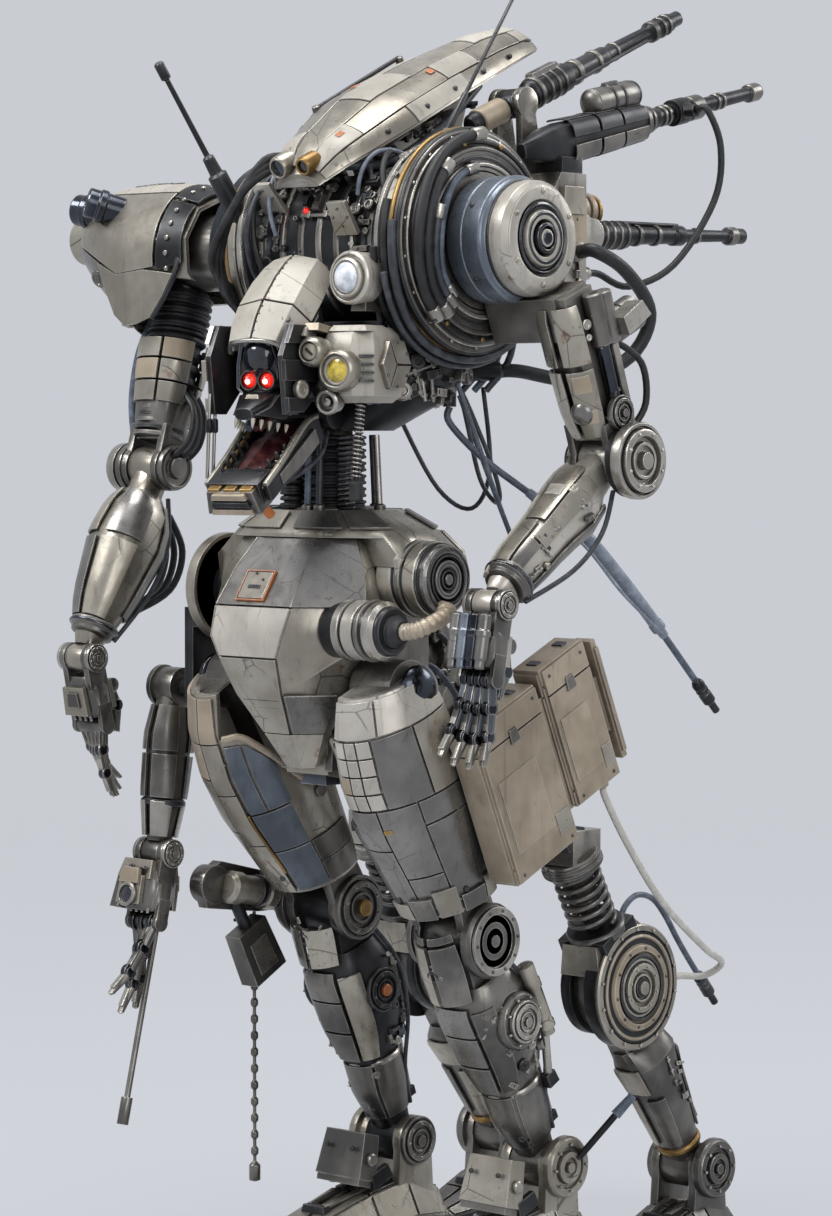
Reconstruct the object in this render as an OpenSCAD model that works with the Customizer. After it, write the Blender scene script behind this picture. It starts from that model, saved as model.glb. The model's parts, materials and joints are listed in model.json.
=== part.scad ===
// Walking robot with a beast's head: a standing trunk with two arms and a small
// third arm at the hip, carried on two long front legs and two sprung rear legs.
// Frame: +X is the robot's left, -Y is forward, +Z is up, and the feet stand on z = 0.

/* [Front legs] */
// Distance of each front leg's plane from the middle
hip_half_width = 50; // [46:1:56]
// Height of the front hip axle above the floor
hip_height = 306; // [302:1:310]
// Front hip axle's place ahead of the waist
hip_y = -14; // [-18:1:-10]
// Hip axle to knee axle
thigh_length = 137; // [132:1:140]
// Height of the ankle axle above the floor
ankle_height = 55; // [52:1:58]
// Right front ankle axle, behind the waist
right_ankle_y = 99.4; // [97:0.1:103]
// Left front ankle axle, behind the waist
left_ankle_y = 100.2; // [97:0.1:103]
// Backward lean of the right thigh, in degrees
right_thigh_lean = 28; // [22:1:30]
// Backward lean of the left thigh, in degrees
left_thigh_lean = 22; // [18:1:26]
// Foot's reach ahead of the ankle axle
toe_reach = 122; // [100:1:135]
// Foot's reach behind the ankle axle
heel_reach = 28; // [26:1:40]

/* [Rear legs] */
// Distance of each rear leg's plane from the middle
rear_half_width = 66; // [62:1:72]
// Top of the rear spring strut, behind the waist
strut_top_y = 104; // [100:1:108]
// Top of the rear spring strut, above the floor
strut_top_z = 216; // [212:1:222]
// Rear knee drum, behind the waist
drum_y = 143; // [140:1:148]
// Rear knee drum, above the floor
drum_z = 144; // [140:1:148]
// Radius of the rear knee drum
drum_r = 32; // [28:1:34]
// Rear ankle axle, behind the waist
rear_ankle_y = 205; // [200:1:212]
// Rear ankle axle, above the floor
rear_ankle_z = 40; // [38:1:44]
// Rear foot's reach ahead of its ankle axle
rear_toe_reach = 54; // [48:1:58]
// Rear foot's reach behind its ankle axle
rear_heel_reach = 26; // [24:1:30]
// Turns in each rear spring
spring_turns = 6; // [5:1:7]

/* [Trunk] */
// Height of the shoulder axis above the floor
shoulder_z = 525; // [520:1:530]
// Shoulder axis, behind the waist
shoulder_y = 30; // [26:1:34]
// Radius of the chest barrel's end flanges
barrel_r = 50; // [48:1:54]
// Half the width of the chest barrel
barrel_half = 58; // [52:1:62]
// Underside of the chest, where the waist turns
waist_top_z = 432; // [428:1:436]
// Radius of the waist post
waist_post_r = 9; // [8:0.5:11]
// Length of the back shell
carapace_length = 184; // [176:1:196]
// Upward slope of the back shell, in degrees
carapace_slope = 24; // [22:1:28]

/* [Arms] */
// Plane of the right arm, to the right of the middle
right_arm_x = 132; // [130:1:136]
// Plane of the left arm, to the left of the middle
left_arm_x = 114; // [113:1:118]
// Shoulder axle to elbow axle
upper_arm_length = 116; // [112:1:122]
// Elbow axle to wrist axle
forearm_length = 110; // [104:1:116]
// Lean of the right upper arm, in degrees, forward negative
right_upper_lean = -14; // [-18:1:-8]
// Lean of the right forearm, in degrees, forward negative
right_fore_lean = -28; // [-32:1:-22]
// Lean of the left upper arm, in degrees, backward positive
left_upper_lean = 22; // [18:1:26]
// Lean of the left forearm, in degrees, forward negative
left_fore_lean = -52; // [-58:1:-46]

/* [Head] */
// Head pivot ahead of the waist
neck_y = -18; // [-22:1:-17]
// Head pivot above the floor
neck_z = 470; // [466:1:473]
// Length of the lower jaw from its hinge
jaw_length = 72; // [66:1:78]
// Opening angle of the lower jaw at rest, in degrees below level
jaw_drop = 31; // [26:1:36]
// Turn of the head to the robot's left, in degrees
head_turn = 12; // [8:1:14]

/* [Fits] */
// Radius of the leg and arm axles
axle_r = 5; // [4:0.5:6]
// Radial clearance of an axle in its eye
run_gap = 0.05; // [0.02:0.01:0.1]
// Clearance between faces that pass each other
face_gap = 0.5; // [0.3:0.1:1]
// Wall of the armour shells
wall = 2.5; // [2:0.5:4]

/* [Hidden] */
$fn = 48;

// Colours
sand = "#a8a293";
pale = "#b9b4a6";
steel = "#77787a";
dark = "#2e3034";
blued = "#5d6875";

// Places of the joints
function swing(p, lean, len) = [p[0], p[1] + len * sin(lean), p[2] - len * cos(lean)];
fr_hip = [-hip_half_width, hip_y, hip_height];
fl_hip = [hip_half_width, hip_y, hip_height];
fr_knee = swing(fr_hip, right_thigh_lean, thigh_length);
fl_knee = swing(fl_hip, left_thigh_lean, thigh_length);
fr_ankle = [fr_knee[0], right_ankle_y, ankle_height];
fl_ankle = [fl_knee[0], left_ankle_y, ankle_height];
function shin_lean(knee, ankle) = atan2(ankle[1] - knee[1], knee[2] - ankle[2]);
rear_drum = [rear_half_width, drum_y, drum_z];
rear_shin_run = [rear_ankle_y - drum_y, drum_z - rear_ankle_z];
rear_shin_length = norm(rear_shin_run);
rear_shin_lean = atan2(rear_shin_run[0], rear_shin_run[1]);
strut_run = [drum_y - strut_top_y, strut_top_z - drum_z];
strut_length = norm(strut_run);
strut_lean = atan2(strut_run[0], strut_run[1]);
rear_ankle = [rear_half_width, rear_ankle_y, rear_ankle_z];
r_shoulder = [-right_arm_x, shoulder_y, shoulder_z];
l_shoulder = [left_arm_x, shoulder_y, shoulder_z];
r_elbow = swing(r_shoulder, right_upper_lean, upper_arm_length);
l_elbow = swing(l_shoulder, left_upper_lean, upper_arm_length);
r_wrist = swing(r_elbow, right_fore_lean, forearm_length);
l_wrist = swing(l_elbow, left_fore_lean, forearm_length);
hip_arm_pivot = [-101, -14, 300];
hip_arm_lean = -8;
hip_arm_length = 86;
r_hand_lean = 12;
l_hand_lean = -12;
hip_hand_lean = -14;
hip_arm_wrist = swing(hip_arm_pivot, hip_arm_lean, hip_arm_length);
neck = [0, neck_y, neck_z];
jaw_pivot = [0, neck_y - 6, neck_z - 30];
upper_gun = [38, 92, 598];
middle_gun = [60, 98, 577];
lower_gun = [58, 121, 532];

// Sizes shared by several parts
small_axle = 2.5;
hip_eye_half = 13;
knee_eye_half = 11.8;
ankle_eye_half = 9.4;
shoulder_axle = 8;
spool_r = 42;
finger_length = 36;
shell_bolt_r = 3.5;
shell_bolt_at = [0, -3, -62];
strut_seat = 38;
strut_head = 8;
spring_wire = 3.2;
spring_r = 11.5;
pannier_x = 80;
pannier_wide = 17;
pannier_place = [pannier_x, 52, 268];
pannier_tilt = 24;

// Sweeps and lofts

// Solid through a row of rings, each a list of points, counter-clockwise seen from the far end
module loft(rings) {
    n = len(rings[0]);
    m = len(rings);
    polyhedron(
        points = [for (r = rings) each r],
        faces = concat(
            [[for (i = [0:n - 1]) i]],
            [[for (i = [n - 1:-1:0]) (m - 1) * n + i]],
            [for (j = [0:m - 2], i = [0:n - 1]) let (k = (i + 1) % n)
                each [[j * n + i, (j + 1) * n + i, (j + 1) * n + k],
                    [j * n + i, (j + 1) * n + k, j * n + k]]]));
}

function power(v, p) = sign(v) * pow(abs(v), p);
// Rounded-square ring at height s[0], centred on s[1], s[2], with half-widths s[3], s[4]
function round_ring(s, n = 16, p = 0.7) =
    [for (i = [0:n - 1]) let (a = 360 * (i + 0.5) / n)
        [s[1] + s[3] * power(cos(a), p), s[2] + s[4] * power(sin(a), p), s[0]]];
// Open channel ring at height s[0], centred on s[1], s[2], outer half-widths s[3], s[4], from angle s[5]
// to s[6]
function channel_ring(s, t, n = 9) = concat(
    [for (i = [0:n]) let (a = s[5] + (s[6] - s[5]) * i / n)
        [s[1] + s[3] * cos(a), s[2] + s[4] * sin(a), s[0]]],
    [for (i = [n:-1:0]) let (a = s[5] + (s[6] - s[5]) * i / n)
        [s[1] + (s[3] - t) * cos(a), s[2] + (s[4] - t) * sin(a), s[0]]]);
// Ring of a given outline at height z
function outline_ring(outline, z) = [for (p = outline) [p[0], p[1], z]];

module round_loft(stations, n = 16, p = 0.7) loft([for (s = stations) round_ring(s, n, p)]);
module channel_loft(stations, t, n = 9) loft([for (s = stations) channel_ring(s, t, n)]);

function unit(v) = v / norm(v);
function tangent(route, i) = unit(route[min(i + 1, len(route) - 1)] - route[max(i - 1, 0)]);
// Smooth curve through hand-chosen points
function spline_point(p, q, r, s, t) =
    0.5 * ((2 * q) + (r - p) * t + (2 * p - 5 * q + 4 * r - s) * t * t + (3 * q - p - 3 * r + s)
        * t * t * t);
function smooth(points, steps) = concat(
    [for (i = [0:len(points) - 2], k = [0:steps - 1])
        spline_point(points[max(i - 1, 0)], points[i], points[i + 1], points[min(i + 2, len(points) - 1)],
            k / steps)],
    [points[len(points) - 1]]);
// Tube of diameter d along a route, with an axis that the route never runs along
module tube(route, d, axis, sides, first, last) loft([for (i = [0:len(route) - 1])
    let (t = i == 0 ? first : i == len(route) - 1 ? last : tangent(route, i), u = unit(cross(t, axis)),
        v = cross(t, u))
        [for (k = [0:sides - 1]) let (a = 360 * k / sides) route[i] + d / 2 * (u * cos(a)
            + v * sin(a))]]);
// Cord through hand-chosen points, with its ends square to its first and last runs
module cord(points, steps, d, axis) {
    n = len(points) - 1;
    tube(smooth(points, steps), d, axis, 8, unit(points[1] - points[0]), unit(points[n] - points[n - 1]));
}

// Frames and small shapes

// Moves the robot so that the origin lies on the floor under the middle of its box
origin_shift = [42.5, -90.1, 0];
module placed(tone) color(tone) translate(origin_shift) children();

// Puts children at p, leaned back by lean degrees, mirrored for the right side
module limb(p, lean, side = 1) translate(p) rotate([lean, 0, 0]) mirror([side < 0 ? 1 : 0, 0,
    0]) children();
// Cylinder along X from x0 to x1
module rod_x(x0, x1, r) translate([x0, 0, 0]) rotate([0, 90, 0]) cylinder(h = x1 - x0, r = r);
// Outline in the Y, Z plane extruded along X
module plate_x(x0, x1) translate([x0, 0, 0]) rotate([90, 0, 90]) linear_extrude(x1 - x0) children();
// Revolved outline about X, in pairs of x and radius
module turned_x(outline) rotate([90, 0, 90]) rotate_extrude() polygon([for (p = outline) [p[1], p[0]]]);
// Stepped round cover about X that starts at x0: rings of falling height, with a hub in the middle
module round_cover(x0, r, h) turned_x([[x0, 0], [x0, r], [x0 + 0.55 * h, r], [x0 + 0.8 * h, 0.92 * r],
    [x0 + 0.8 * h, 0.7 * r], [x0 + 0.5 * h, 0.66 * r], [x0 + 0.5 * h, 0.54 * r], [x0 + 0.9 * h, 0.5 * r],
    [x0 + 0.9 * h, 0.34 * r], [x0 + 0.62 * h, 0.3 * r], [x0 + 0.62 * h, 0.18 * r], [x0 + h, 0.16 * r],
        [x0 + h, 0]]);
// Eye of a hinge: a barrel about X with the running bore of its axle
module eye(r, half, axle = axle_r) difference() {
    rod_x(-half, half, r);
    eye_bore(half, axle);
}
module eye_bore(half, axle = axle_r) rod_x(-half - 1, half + 1, axle + run_gap);
// Two round ears with the axle between them
module ears(r, inner, thick, axle = axle_r) {
    for (s = [-1, 1]) translate([s * (inner + thick / 2), 0, 0]) rod_x(-thick / 2, thick / 2, r);
    rod_x(-inner - thick / 2, inner + thick / 2, axle);
}
// Corrugated boot along +Z with its bore
module ribbed_boot(length, r_in, r_out, ribs) rotate_extrude() polygon(concat(
    [[r_in, 0]],
    [for (i = [0:ribs - 1]) each [[r_out, (i + 0.15) * length / ribs],
        [r_out, (i + 0.55) * length / ribs],
        [r_out - 1.6, (i + 0.7) * length / ribs], [r_out - 1.6, (i + 1) * length / ribs]]],
    [[r_in, length]]));
// Points of a spring about +Z that starts and ends square to its seats
function spring_route(length, r, turns, d) = concat(
    [[r, 0, 0], [r, 0, d]],
    [for (i = [1:8 * turns - 1]) let (a = 360 * i / 8)
        [r * cos(a), r * sin(a), d + (length - 2 * d) * i / (8 * turns)]],
    [[r, 0, length - d], [r, 0, length]]);
function least_gap(route, d, skip) =
    min([for (i = [0:len(route) - 1 - skip], j = [i + skip:len(route) - 1]) norm(route[i] - route[j])])
        - d;

// Front legs: each part is drawn about its upper joint, for the left side, and runs down -Z

module thigh_link(bar) {
    difference() {
        union() {
            rod_x(-hip_eye_half, hip_eye_half, 15);
            plate_x(-8, 8) polygon([[-11, -8], [11, -8], [9, 36 - thigh_length],
                [-9, 36 - thigh_length]]);
        }
        eye_bore(hip_eye_half);
    }
    translate([0, 0, 28 - thigh_length]) cube([35, 19, 18], center = true);
    translate(shell_bolt_at) rod_x(-29, 29, shell_bolt_r);
    translate([0, 0, -thigh_length]) {
        for (s = [-1, 1]) translate([s * 15, 0, 0]) plate_x(-2.5, 2.5)
            polygon([[-11, 32], [-13, 0], [13, 0], [11, 32]]);
        ears(16, knee_eye_half + 0.7, 5);
        round_cover(17.4, 19, 7);
        // Outrigger that carries the chain, on the right leg only
        if (bar) {
            rod_x(21, 36, 9);
            plate_x(29.5, 36) polygon([[8, -10], [8, 8], [-34, 46], [-52, 46], [-54, 30], [-24, 8]]);
            translate([0, -44, 38]) rod_x(28.6, 38, 10);
        }
    }
}

module thigh_shell() difference() {
    channel_loft([[-114, 0, 0, 23, 24, -205, 30], [-98, 0, -1, 25, 27, -205, 30],
        [-62, 0, -4, 28, 34, -205, 30],
        [-36, 0, -5, 28, 36, -205, 30], [-10, 0, -5, 25, 33, -205, 30], [8, 0, -4, 21, 26, -205, 30]],
            wall, 14);
    translate(shell_bolt_at) rod_x(-40, 40, shell_bolt_r + 0.05);
    // Slanted mouth on the inner side, clear of the pelvis
    plate_x(-60, -8) polygon([[-60, -10], [-30, -14], [-10, -52], [60, -80], [60, 60], [-60, 60]]);
}

module front_shank(shin_length) difference() {
    union() {
        rod_x(-knee_eye_half, knee_eye_half, 14);
        plate_x(-11, 11) polygon([[-11, -6], [11, -6], [13, -28], [-13, -28]]);
        round_loft([[10 - shin_length, 0, 0, ankle_eye_half, 9],
            [16 - shin_length, 0, 0, ankle_eye_half, 10],
            [-106, 0, -1, 12, 14], [-86, 0, 0, 13, 15], [-66, 0, 1, 19, 20], [-34, 0, 0, 20, 22],
                [-22, 0, 0, 15, 17]]);
        translate([0, 0, -48]) round_cover(18, 15, 7);
        translate([0, 0, -shin_length]) rod_x(-ankle_eye_half, ankle_eye_half, 12.5);
    }
    eye_bore(knee_eye_half);
    translate([0, 0, -shin_length]) eye_bore(ankle_eye_half);
}

// Foot cross-section at distance d ahead of the ankle
function foot_ring(d, h, half, side_h, top_h) = [[-half, -h, d], [half, -h, d], [half, side_h - h, d],
    [0.6 * half, top_h - h, d], [-0.6 * half, top_h - h, d], [-half, side_h - h, d]];

module foot(h, toe, heel) {
    k = (h - 18) / 37;
    ears(13, ankle_eye_half + 0.6, 5);
    for (s = [-1, 1]) translate([s * 12.5, 0, 0]) plate_x(-2.5, 2.5)
        polygon([[-12, 0], [12, 0], [14, 24 * k - h], [-14, 24 * k - h]]);
    round_cover(14.9, 16, 7);
    difference() {
        rotate([90, 0, 0]) loft([foot_ring(-heel, h, 12, 8 * k, 14 * k), foot_ring(9 - heel, h, 19,
            13 * k, 27 * k),
            foot_ring(6, h, 22, 16 * k, 34 * k), foot_ring(0.28 * toe, h, 22, 14 * k, 30 * k),
            foot_ring(0.6 * toe, h, 20, 10 * k, 20 * k), foot_ring(toe, h, 12, 4 * k, 8 * k)]);
        for (x = [-5, 5]) translate([x, -toe, 0]) cube([1.6, 0.7 * toe, 3 * h], center = true);
    }
}

// Rear legs: the drum housing with its strut rod, the spring, the shank

// Drawn about the drum's centre, with the strut along +Z
module rear_thigh() {
    round_cover(4, drum_r, 14);
    rod_x(-15, -9, drum_r - 5);
    rod_x(-12, 6, axle_r);
    translate([0, 0, drum_r - 1]) cube([30, 28, 10], center = true);
    translate([0, 0, strut_seat - 4]) cylinder(h = 4, r = 15);
    translate([0, 0, strut_seat - 4]) cylinder(h = strut_length - 20 - strut_seat + 4, r = axle_r);
}

module rear_spring() {
    length = strut_length - strut_head - strut_seat;
    route = spring_route(length, spring_r, spring_turns, spring_wire);
    echo(spring_gap = least_gap(route, spring_wire, 6));
    translate([0, 0, strut_seat]) tube(route, spring_wire, [0, -0.2, 1], 6, [0, 0, 1], [0, 0, 1]);
}

module rear_shank() difference() {
    union() {
        rod_x(-8.5, 3.5, 24);
        plate_x(-8.5, 3.5) polygon([[-15, -12], [15, -12], [14, -40], [-14, -40]]);
        round_loft([[10 - rear_shin_length, 0, 0, ankle_eye_half, 9],
            [15 - rear_shin_length, 0, 0, ankle_eye_half, 10],
            [-82, 0, 0, 12, 12], [-62, 0, 0, 13, 14], [-46, 0, 0, 14, 17], [-35, -2, 0, 8, 16]]);
        translate([0, 0, -rear_shin_length]) rod_x(-ankle_eye_half, ankle_eye_half, 12);
        translate([0, 15, -96]) cylinder(h = 52, r = 3);
        translate([0, 8, -98]) cube([6, 18, 6], center = true);
    }
    eye_bore(12);
    translate([0, 0, -rear_shin_length]) eye_bore(ankle_eye_half);
}

// Pelvis

module pelvis_body() {
    plate_x(-36, 36) polygon([[-20, 300], [-8, 284], [20, 284], [30, 300], [30, 374], [-20, 374]]);
    translate([0, 0, 370]) cylinder(h = waist_top_z + 14 - 370, r = waist_post_r);
    for (s = [-1, 1]) limb([s * hip_half_width, hip_y, hip_height], 0, s) {
        rod_x(-16, hip_eye_half + face_gap + 3, axle_r);
        rod_x(hip_eye_half + face_gap, hip_eye_half + face_gap + 3, 9);
    }
}

module left_upper_drive(grow = 0) translate([0, -2, 360]) rod_x(36.1, 72, 18 + grow);
module left_lower_drive(grow = 0) translate([0, -36, 336]) rod_x(36.1, 68, 14 + grow);
module right_drive(grow = 0) translate([0, -2, 352]) mirror([1, 0, 0]) rod_x(36.1, 72, 14 + grow);

module drive_web(grow = 0) plate_x(36.1 - grow, 42 + grow) polygon([[-42 - grow, 330 - grow],
    [-24, 324 - grow], [10 + grow, 346], [8 + grow, 370], [-10, 372 + grow], [-42 - grow, 346 + grow]]);

module drives() {
    left_upper_drive();
    translate([0, -2, 360]) round_cover(71.9, 17, 6);
    left_lower_drive();
    translate([0, -36, 336]) round_cover(67.9, 12, 6);
    drive_web();
    right_drive();
    limb([0, -2, 352], 0, -1) {
        round_cover(70, 26, 12);
        // Bracket and axle of the third arm
        plate_x(74, 80) polygon([[-20, -20], [4, -20], [10, 10], [-14, 10]]);
        plate_x(79, 85) polygon([[-20, -56], [-4, -56], [4, -10], [-20, -10]]);
        translate([0, hip_arm_pivot[1] + 2, hip_arm_pivot[2] - 352]) {
            rod_x(82, 112, axle_r);
            rod_x(108.5, 112, 8);
        }
    }
}

module cowl() difference() {
    round_loft([[342, 0, 4, 56, 30], [354, 0, 4, 67, 41], [370, 0, 4, 68, 44], [383, 0, 2, 54, 37],
        [393, 0, 0, 36, 27]],
        20, 0.75);
    translate([-36.1, -20.1, 300]) cube([72.2, 50.2, 74.1]);
    translate([0, 0, 360]) cylinder(h = 50, r = 15.2);
    translate([0, -2, 360]) rod_x(36, 90, 19);
    left_lower_drive(0.2);
    right_drive(0.2);
    drive_web(0.2);
    translate([-60, -80, 300]) cube([120, 59.95, 80]);
    // Room between the two left drives
    translate([40, -21, 341]) cube([22, 14, 14]);
}

// Faceted section of the front plate: half-width, depth ahead of the frame
function plate_section(z, half, depth) = outline_ring([[half, -20.1], [-half, -20.1],
    [-half, -20.1 - 0.3 * depth],
    [-0.5 * half, -20.1 - depth], [0.5 * half, -20.1 - depth], [half, -20.1 - 0.3 * depth]], z);

module front_plate() {
    difference() {
        loft([plate_section(266, 8, 8), plate_section(284, 17, 20), plate_section(304, 30, 33),
            plate_section(322, 38, 41),
            plate_section(332, 47, 42), plate_section(346, 50, 37), plate_section(364, 46, 25),
                plate_section(379, 38, 13)]);
        left_lower_drive(0.2);
        drive_web(0.2);
        translate([0, -36, 336]) rod_x(66, 90, 14.4);
        // Recess of the hatch on the upper panel
        translate([-12, -50, 356]) rotate([-28, 0, 0]) cube([20, 3, 18], center = true);
    }
    // Stepped belly nose under the frame
    plate_x(-14, 14) polygon([[-20.3, 282], [-20.3, 262], [-2, 258], [12, 262], [14, 278], [14, 283.8],
        [-7.6, 283.8]]);
}

module rear_strut_frame() {
    difference() {
        plate_x(-20, 20) polygon([[30.1, 300], [30.1, 341], [56, 341], [82, 306], [108, 240], [112, 206],
            [92, 206],
            [70, 262], [44, 292]]);
        // Round pockets in both cheeks
        for (p = [[50, 318, 10], [68, 294, 9], [92, 242, 7]], x = [-24, 15])
            translate([0, p[0], p[1]]) rod_x(x, x + 9, p[2]);
    }
    difference() {
        union() {
            translate([-rear_half_width - 12, strut_top_y - 11,
                strut_top_z - 5]) cube([2 * rear_half_width + 24, 22, 18]);
            for (s = [-1, 1]) limb([s * rear_half_width, strut_top_y, strut_top_z], strut_lean, s) {
                translate([0, 0, -30]) cylinder(h = 30, r = 8);
                translate([0, 0, -strut_head]) cylinder(h = strut_head, r = 15);
            }
        }
        for (s = [-1, 1]) limb([s * rear_half_width, strut_top_y, strut_top_z], strut_lean, s)
            translate([0, 0, -31]) cylinder(h = 19, r = axle_r + run_gap);
    }
    // Bars that hold the boxes
    for (p = [[76, 286], [86, 262]]) translate([0, p[0], p[1]]) rod_x(18, pannier_x - 0.1, 5);
}

module pannier_box(y0, y1, z0, z1) difference() {
    translate([0, y0, z0]) cube([pannier_wide, y1 - y0, z1 - z0]);
    // Grooves of the lid on the outer face
    for (z = [z1 - 10, z0 + 8]) translate([pannier_wide - 1, y0 - 1, z]) cube([2, y1 - y0 + 2, 1.4]);
}

module panniers() translate(pannier_place) rotate([pannier_tilt, 0, 0]) {
    pannier_box(-46, 4, -44, 42);
    translate([4, 3, -30]) cube([pannier_wide - 6, 8, 62]);
    pannier_box(10, 46, -30, 46);
    translate([6, 45, -10]) cube([6, 10, 30]);
    translate([3, 54, -26]) cube([12, 4, 66]);
    translate([9, 40, -35]) cylinder(h = 6, r = gland_r);
}

// Trunk

module barrel_cut() translate([0, shoulder_y, shoulder_z]) {
    rod_x(-barrel_half - 20, barrel_half + 20, spool_r + 0.1);
    for (s = [-1, 1]) mirror([s < 0 ? 1 : 0, 0, 0]) rod_x(spool_r - 2.1, barrel_half + 0.1,
        barrel_r + 0.1);
}

module barrel() translate([0, shoulder_y, shoulder_z]) {
    turned_x([[-barrel_half, 0], [-barrel_half, barrel_r - 4], [2 - barrel_half, barrel_r],
        [-spool_r - 2, barrel_r],
        [-spool_r, barrel_r - 4], [2 - spool_r, spool_r], [spool_r - 2, spool_r], [spool_r, barrel_r - 4],
        [spool_r + 2, barrel_r], [barrel_half - 2, barrel_r], [barrel_half, barrel_r - 4],
            [barrel_half, 0]]);
    rod_x(barrel_half - 2, left_arm_x - 16.5, shoulder_axle);
    // Collar and axle of the right shoulder
    mirror([1, 0, 0]) translate([barrel_half, 0, 0]) {
        turned_x([[-1, 0], [-1, 41], [0, 42], [6, 45], [12, 44], [18, 37], [22, 37], [24, 34], [28, 33],
            [28, 0]]);
        rod_x(27, right_arm_x - barrel_half + 13.5, shoulder_axle);
    }
}

module left_rings() translate([barrel_half, shoulder_y, shoulder_z]) turned_x([[0.1, 32], [0.1, 55],
    [8, 55], [9, 54],
    [9, 51], [3, 50], [3, 45], [10, 44], [11, 42], [11, 39], [4, 38], [4, 35], [12, 34], [12, 32]]);

module chest() difference() {
    union() {
        difference() {
            round_loft([[waist_top_z, 0, 6, 26, 21], [446, 0, 22, 42, 30], [464, 0, 30, 50, 36],
                [486, 0, 32, 50, 40]], 20, 0.8);
            // Room for the head's eye
            head_turned() translate(neck) rod_x(-12.8, 12.8, 10.8);
        }
        head_turned() {
            for (s = [-1, 1]) translate([s * 15, 0, 0]) plate_x(-2.2, 2.2)
                polygon([[neck_y - 7, neck_z - 5], [neck_y + 4, neck_z - 16], [20, neck_z - 18],
                    [20, neck_z + 14], [neck_y + 8, neck_z + 12], [neck_y - 7, neck_z + 5]]);
            translate(neck) ears(9, 12.8, 4.4, 4);
        }
        // Glands of the chest hose and of the loose cord
        translate([30, 46, hose_route[7][2]]) rotate([0, 0, atan2(4, 3)]) rod_x(0, 30, 5);
        translate([loose_route[0][0], loose_route[0][1], 444]) cylinder(h = 26, r = gland_r);
    }
    barrel_cut();
    translate([0, 0, waist_top_z - 1]) cylinder(h = 16, r = waist_post_r + run_gap);
    translate([0, 0, 380]) cylinder(h = waist_top_z + 1 - 380, r = 20);
}

module back_shell() difference() {
    translate([0, -28, 556]) rotate([carapace_slope, 0, 0]) {
        rotate([-90, 0, 0]) channel_loft([[0, 0, 6, 15, 8, 190, 350], [14, 0, 3, 25, 16, 190, 350],
            [54, 0, 0, 36, 22, 190, 350], [100, 0, 0, 31, 22, 190, 350], [150, 0, 1, 24, 20, 190, 350],
            [carapace_length - 8, 0, 2, 18, 16, 190, 350], [carapace_length, 0, 3, 13, 11, 190, 350]],
                wall + 0.5, 10);
        // Keel that stands on the barrel
        plate_x(-5, 5) polygon([[30, -10], [104, -34], [120, -20], [150, 13], [120, 17], [54, 19],
            [30, 14]]);
    }
    barrel_cut();
}

module guns_base() {
    difference() {
        union() {
            plate_x(26, 70) polygon([[86, 505], [112, 505], [112, 562], [92, 562], [86, 552]]);
            plate_x(-34, 40) polygon([[50, 506], [88, 506], [88, 552], [50, 552]]);
        }
        barrel_cut();
    }
    translate(upper_gun) {
        for (s = [-1, 1]) translate([s * 8, 0, 0]) plate_x(-2, 2) polygon([[-5, 0], [5, 0], [14, -40],
            [-4, -40]]);
        ears(8, 6, 4, 4);
    }
    translate(lower_gun) {
        for (s = [-1, 1]) translate([s * 8, 0, 0]) plate_x(-2, 2) polygon([[0, -7], [0, 7], [-10, 12],
            [-10, -12]]);
        ears(8, 6, 4, 4);
    }
    // Glands of the gun cord and of the chest hose
    translate([gun_route[7][0], 111, gun_route[7][2]]) rotate([-90, 0, 0]) cylinder(h = 6, r = gland_r);
    translate([0, hose_route[0][1], hose_route[0][2]]) rod_x(69, 76, 5);
    // Ribbed nozzle and the can beside it
    translate([36, 111.9, 546]) rotate([-90, 0, 0]) ribbed_boot(42, 4, 9, 6);
    translate([34, 111.5, 522]) rotate([-90, 0, 0]) cylinder(h = 20, r = 8);
}

// Gun along +Y, tilted up, in pairs of distance and radius
module gun(place, slope, outline) translate(place) rotate([slope, 0, 0]) rotate([-90, 0, 0])
    rotate_extrude() polygon([for (p = outline) [p[1], p[0]]]);
module gun_eye(place) translate(place) rod_x(-5.5, 5.5, 7.5);

module high_gun() difference() {
    union() {
        gun_eye(upper_gun);
        gun(upper_gun, 22, [[-36, 0], [-36, 4], [-34, 5.5], [-8, 5.5], [-6, 5], [12, 5.4], [14, 7.5],
            [44, 7.5], [46, 6],
            [78, 5.5], [80, 4.5], [118, 4], [120, 5], [138, 5], [139, 4], [146, 4], [146, 2], [126, 2],
                [126, 0]]);
    }
    translate(upper_gun) eye_bore(6, 4);
}

module mid_gun() {
    difference() {
        translate(middle_gun) rotate([12.6, 0, 0]) {
            rotate([-90, 0, 0]) round_loft([[-26, 0, 0, 3, 4], [-8, 0, 0, 8, 9], [4, 0, 0, 9.5, 10],
                [70, 0, 0, 7.5, 8],
                [84, 0, 0, 5, 5]], 16, 0.6);
            // Capsule can on top
            translate([0, 34, 15]) rotate([-90, 0, 0]) cylinder(h = 34, r = 7);
            translate([0, 51, 9]) cube([8, 26, 6], center = true);
        }
        translate([0, 0, 500]) cube([400, 400, 124.2], center = true);
    }
    translate([51, 94, 562.1]) cube([18, 16, 8]);
    gun(middle_gun, 12.6, [[78, 0], [78, 4.8], [112, 4.4], [113, 6], [122, 6], [123, 4], [166, 3.4],
        [167, 4.4], [176, 4.4],
        [176, 2.4], [150, 2.4], [150, 0]]);
    // Clamp with the cord's gland
    gun(middle_gun, 12.6, [[99, 0], [99, 7], [109, 7], [109, 0]]);
    translate([middle_gun[0], gun_route[0][1], gun_route[0][2]]) rod_x(4, 13, gland_r);
}

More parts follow.
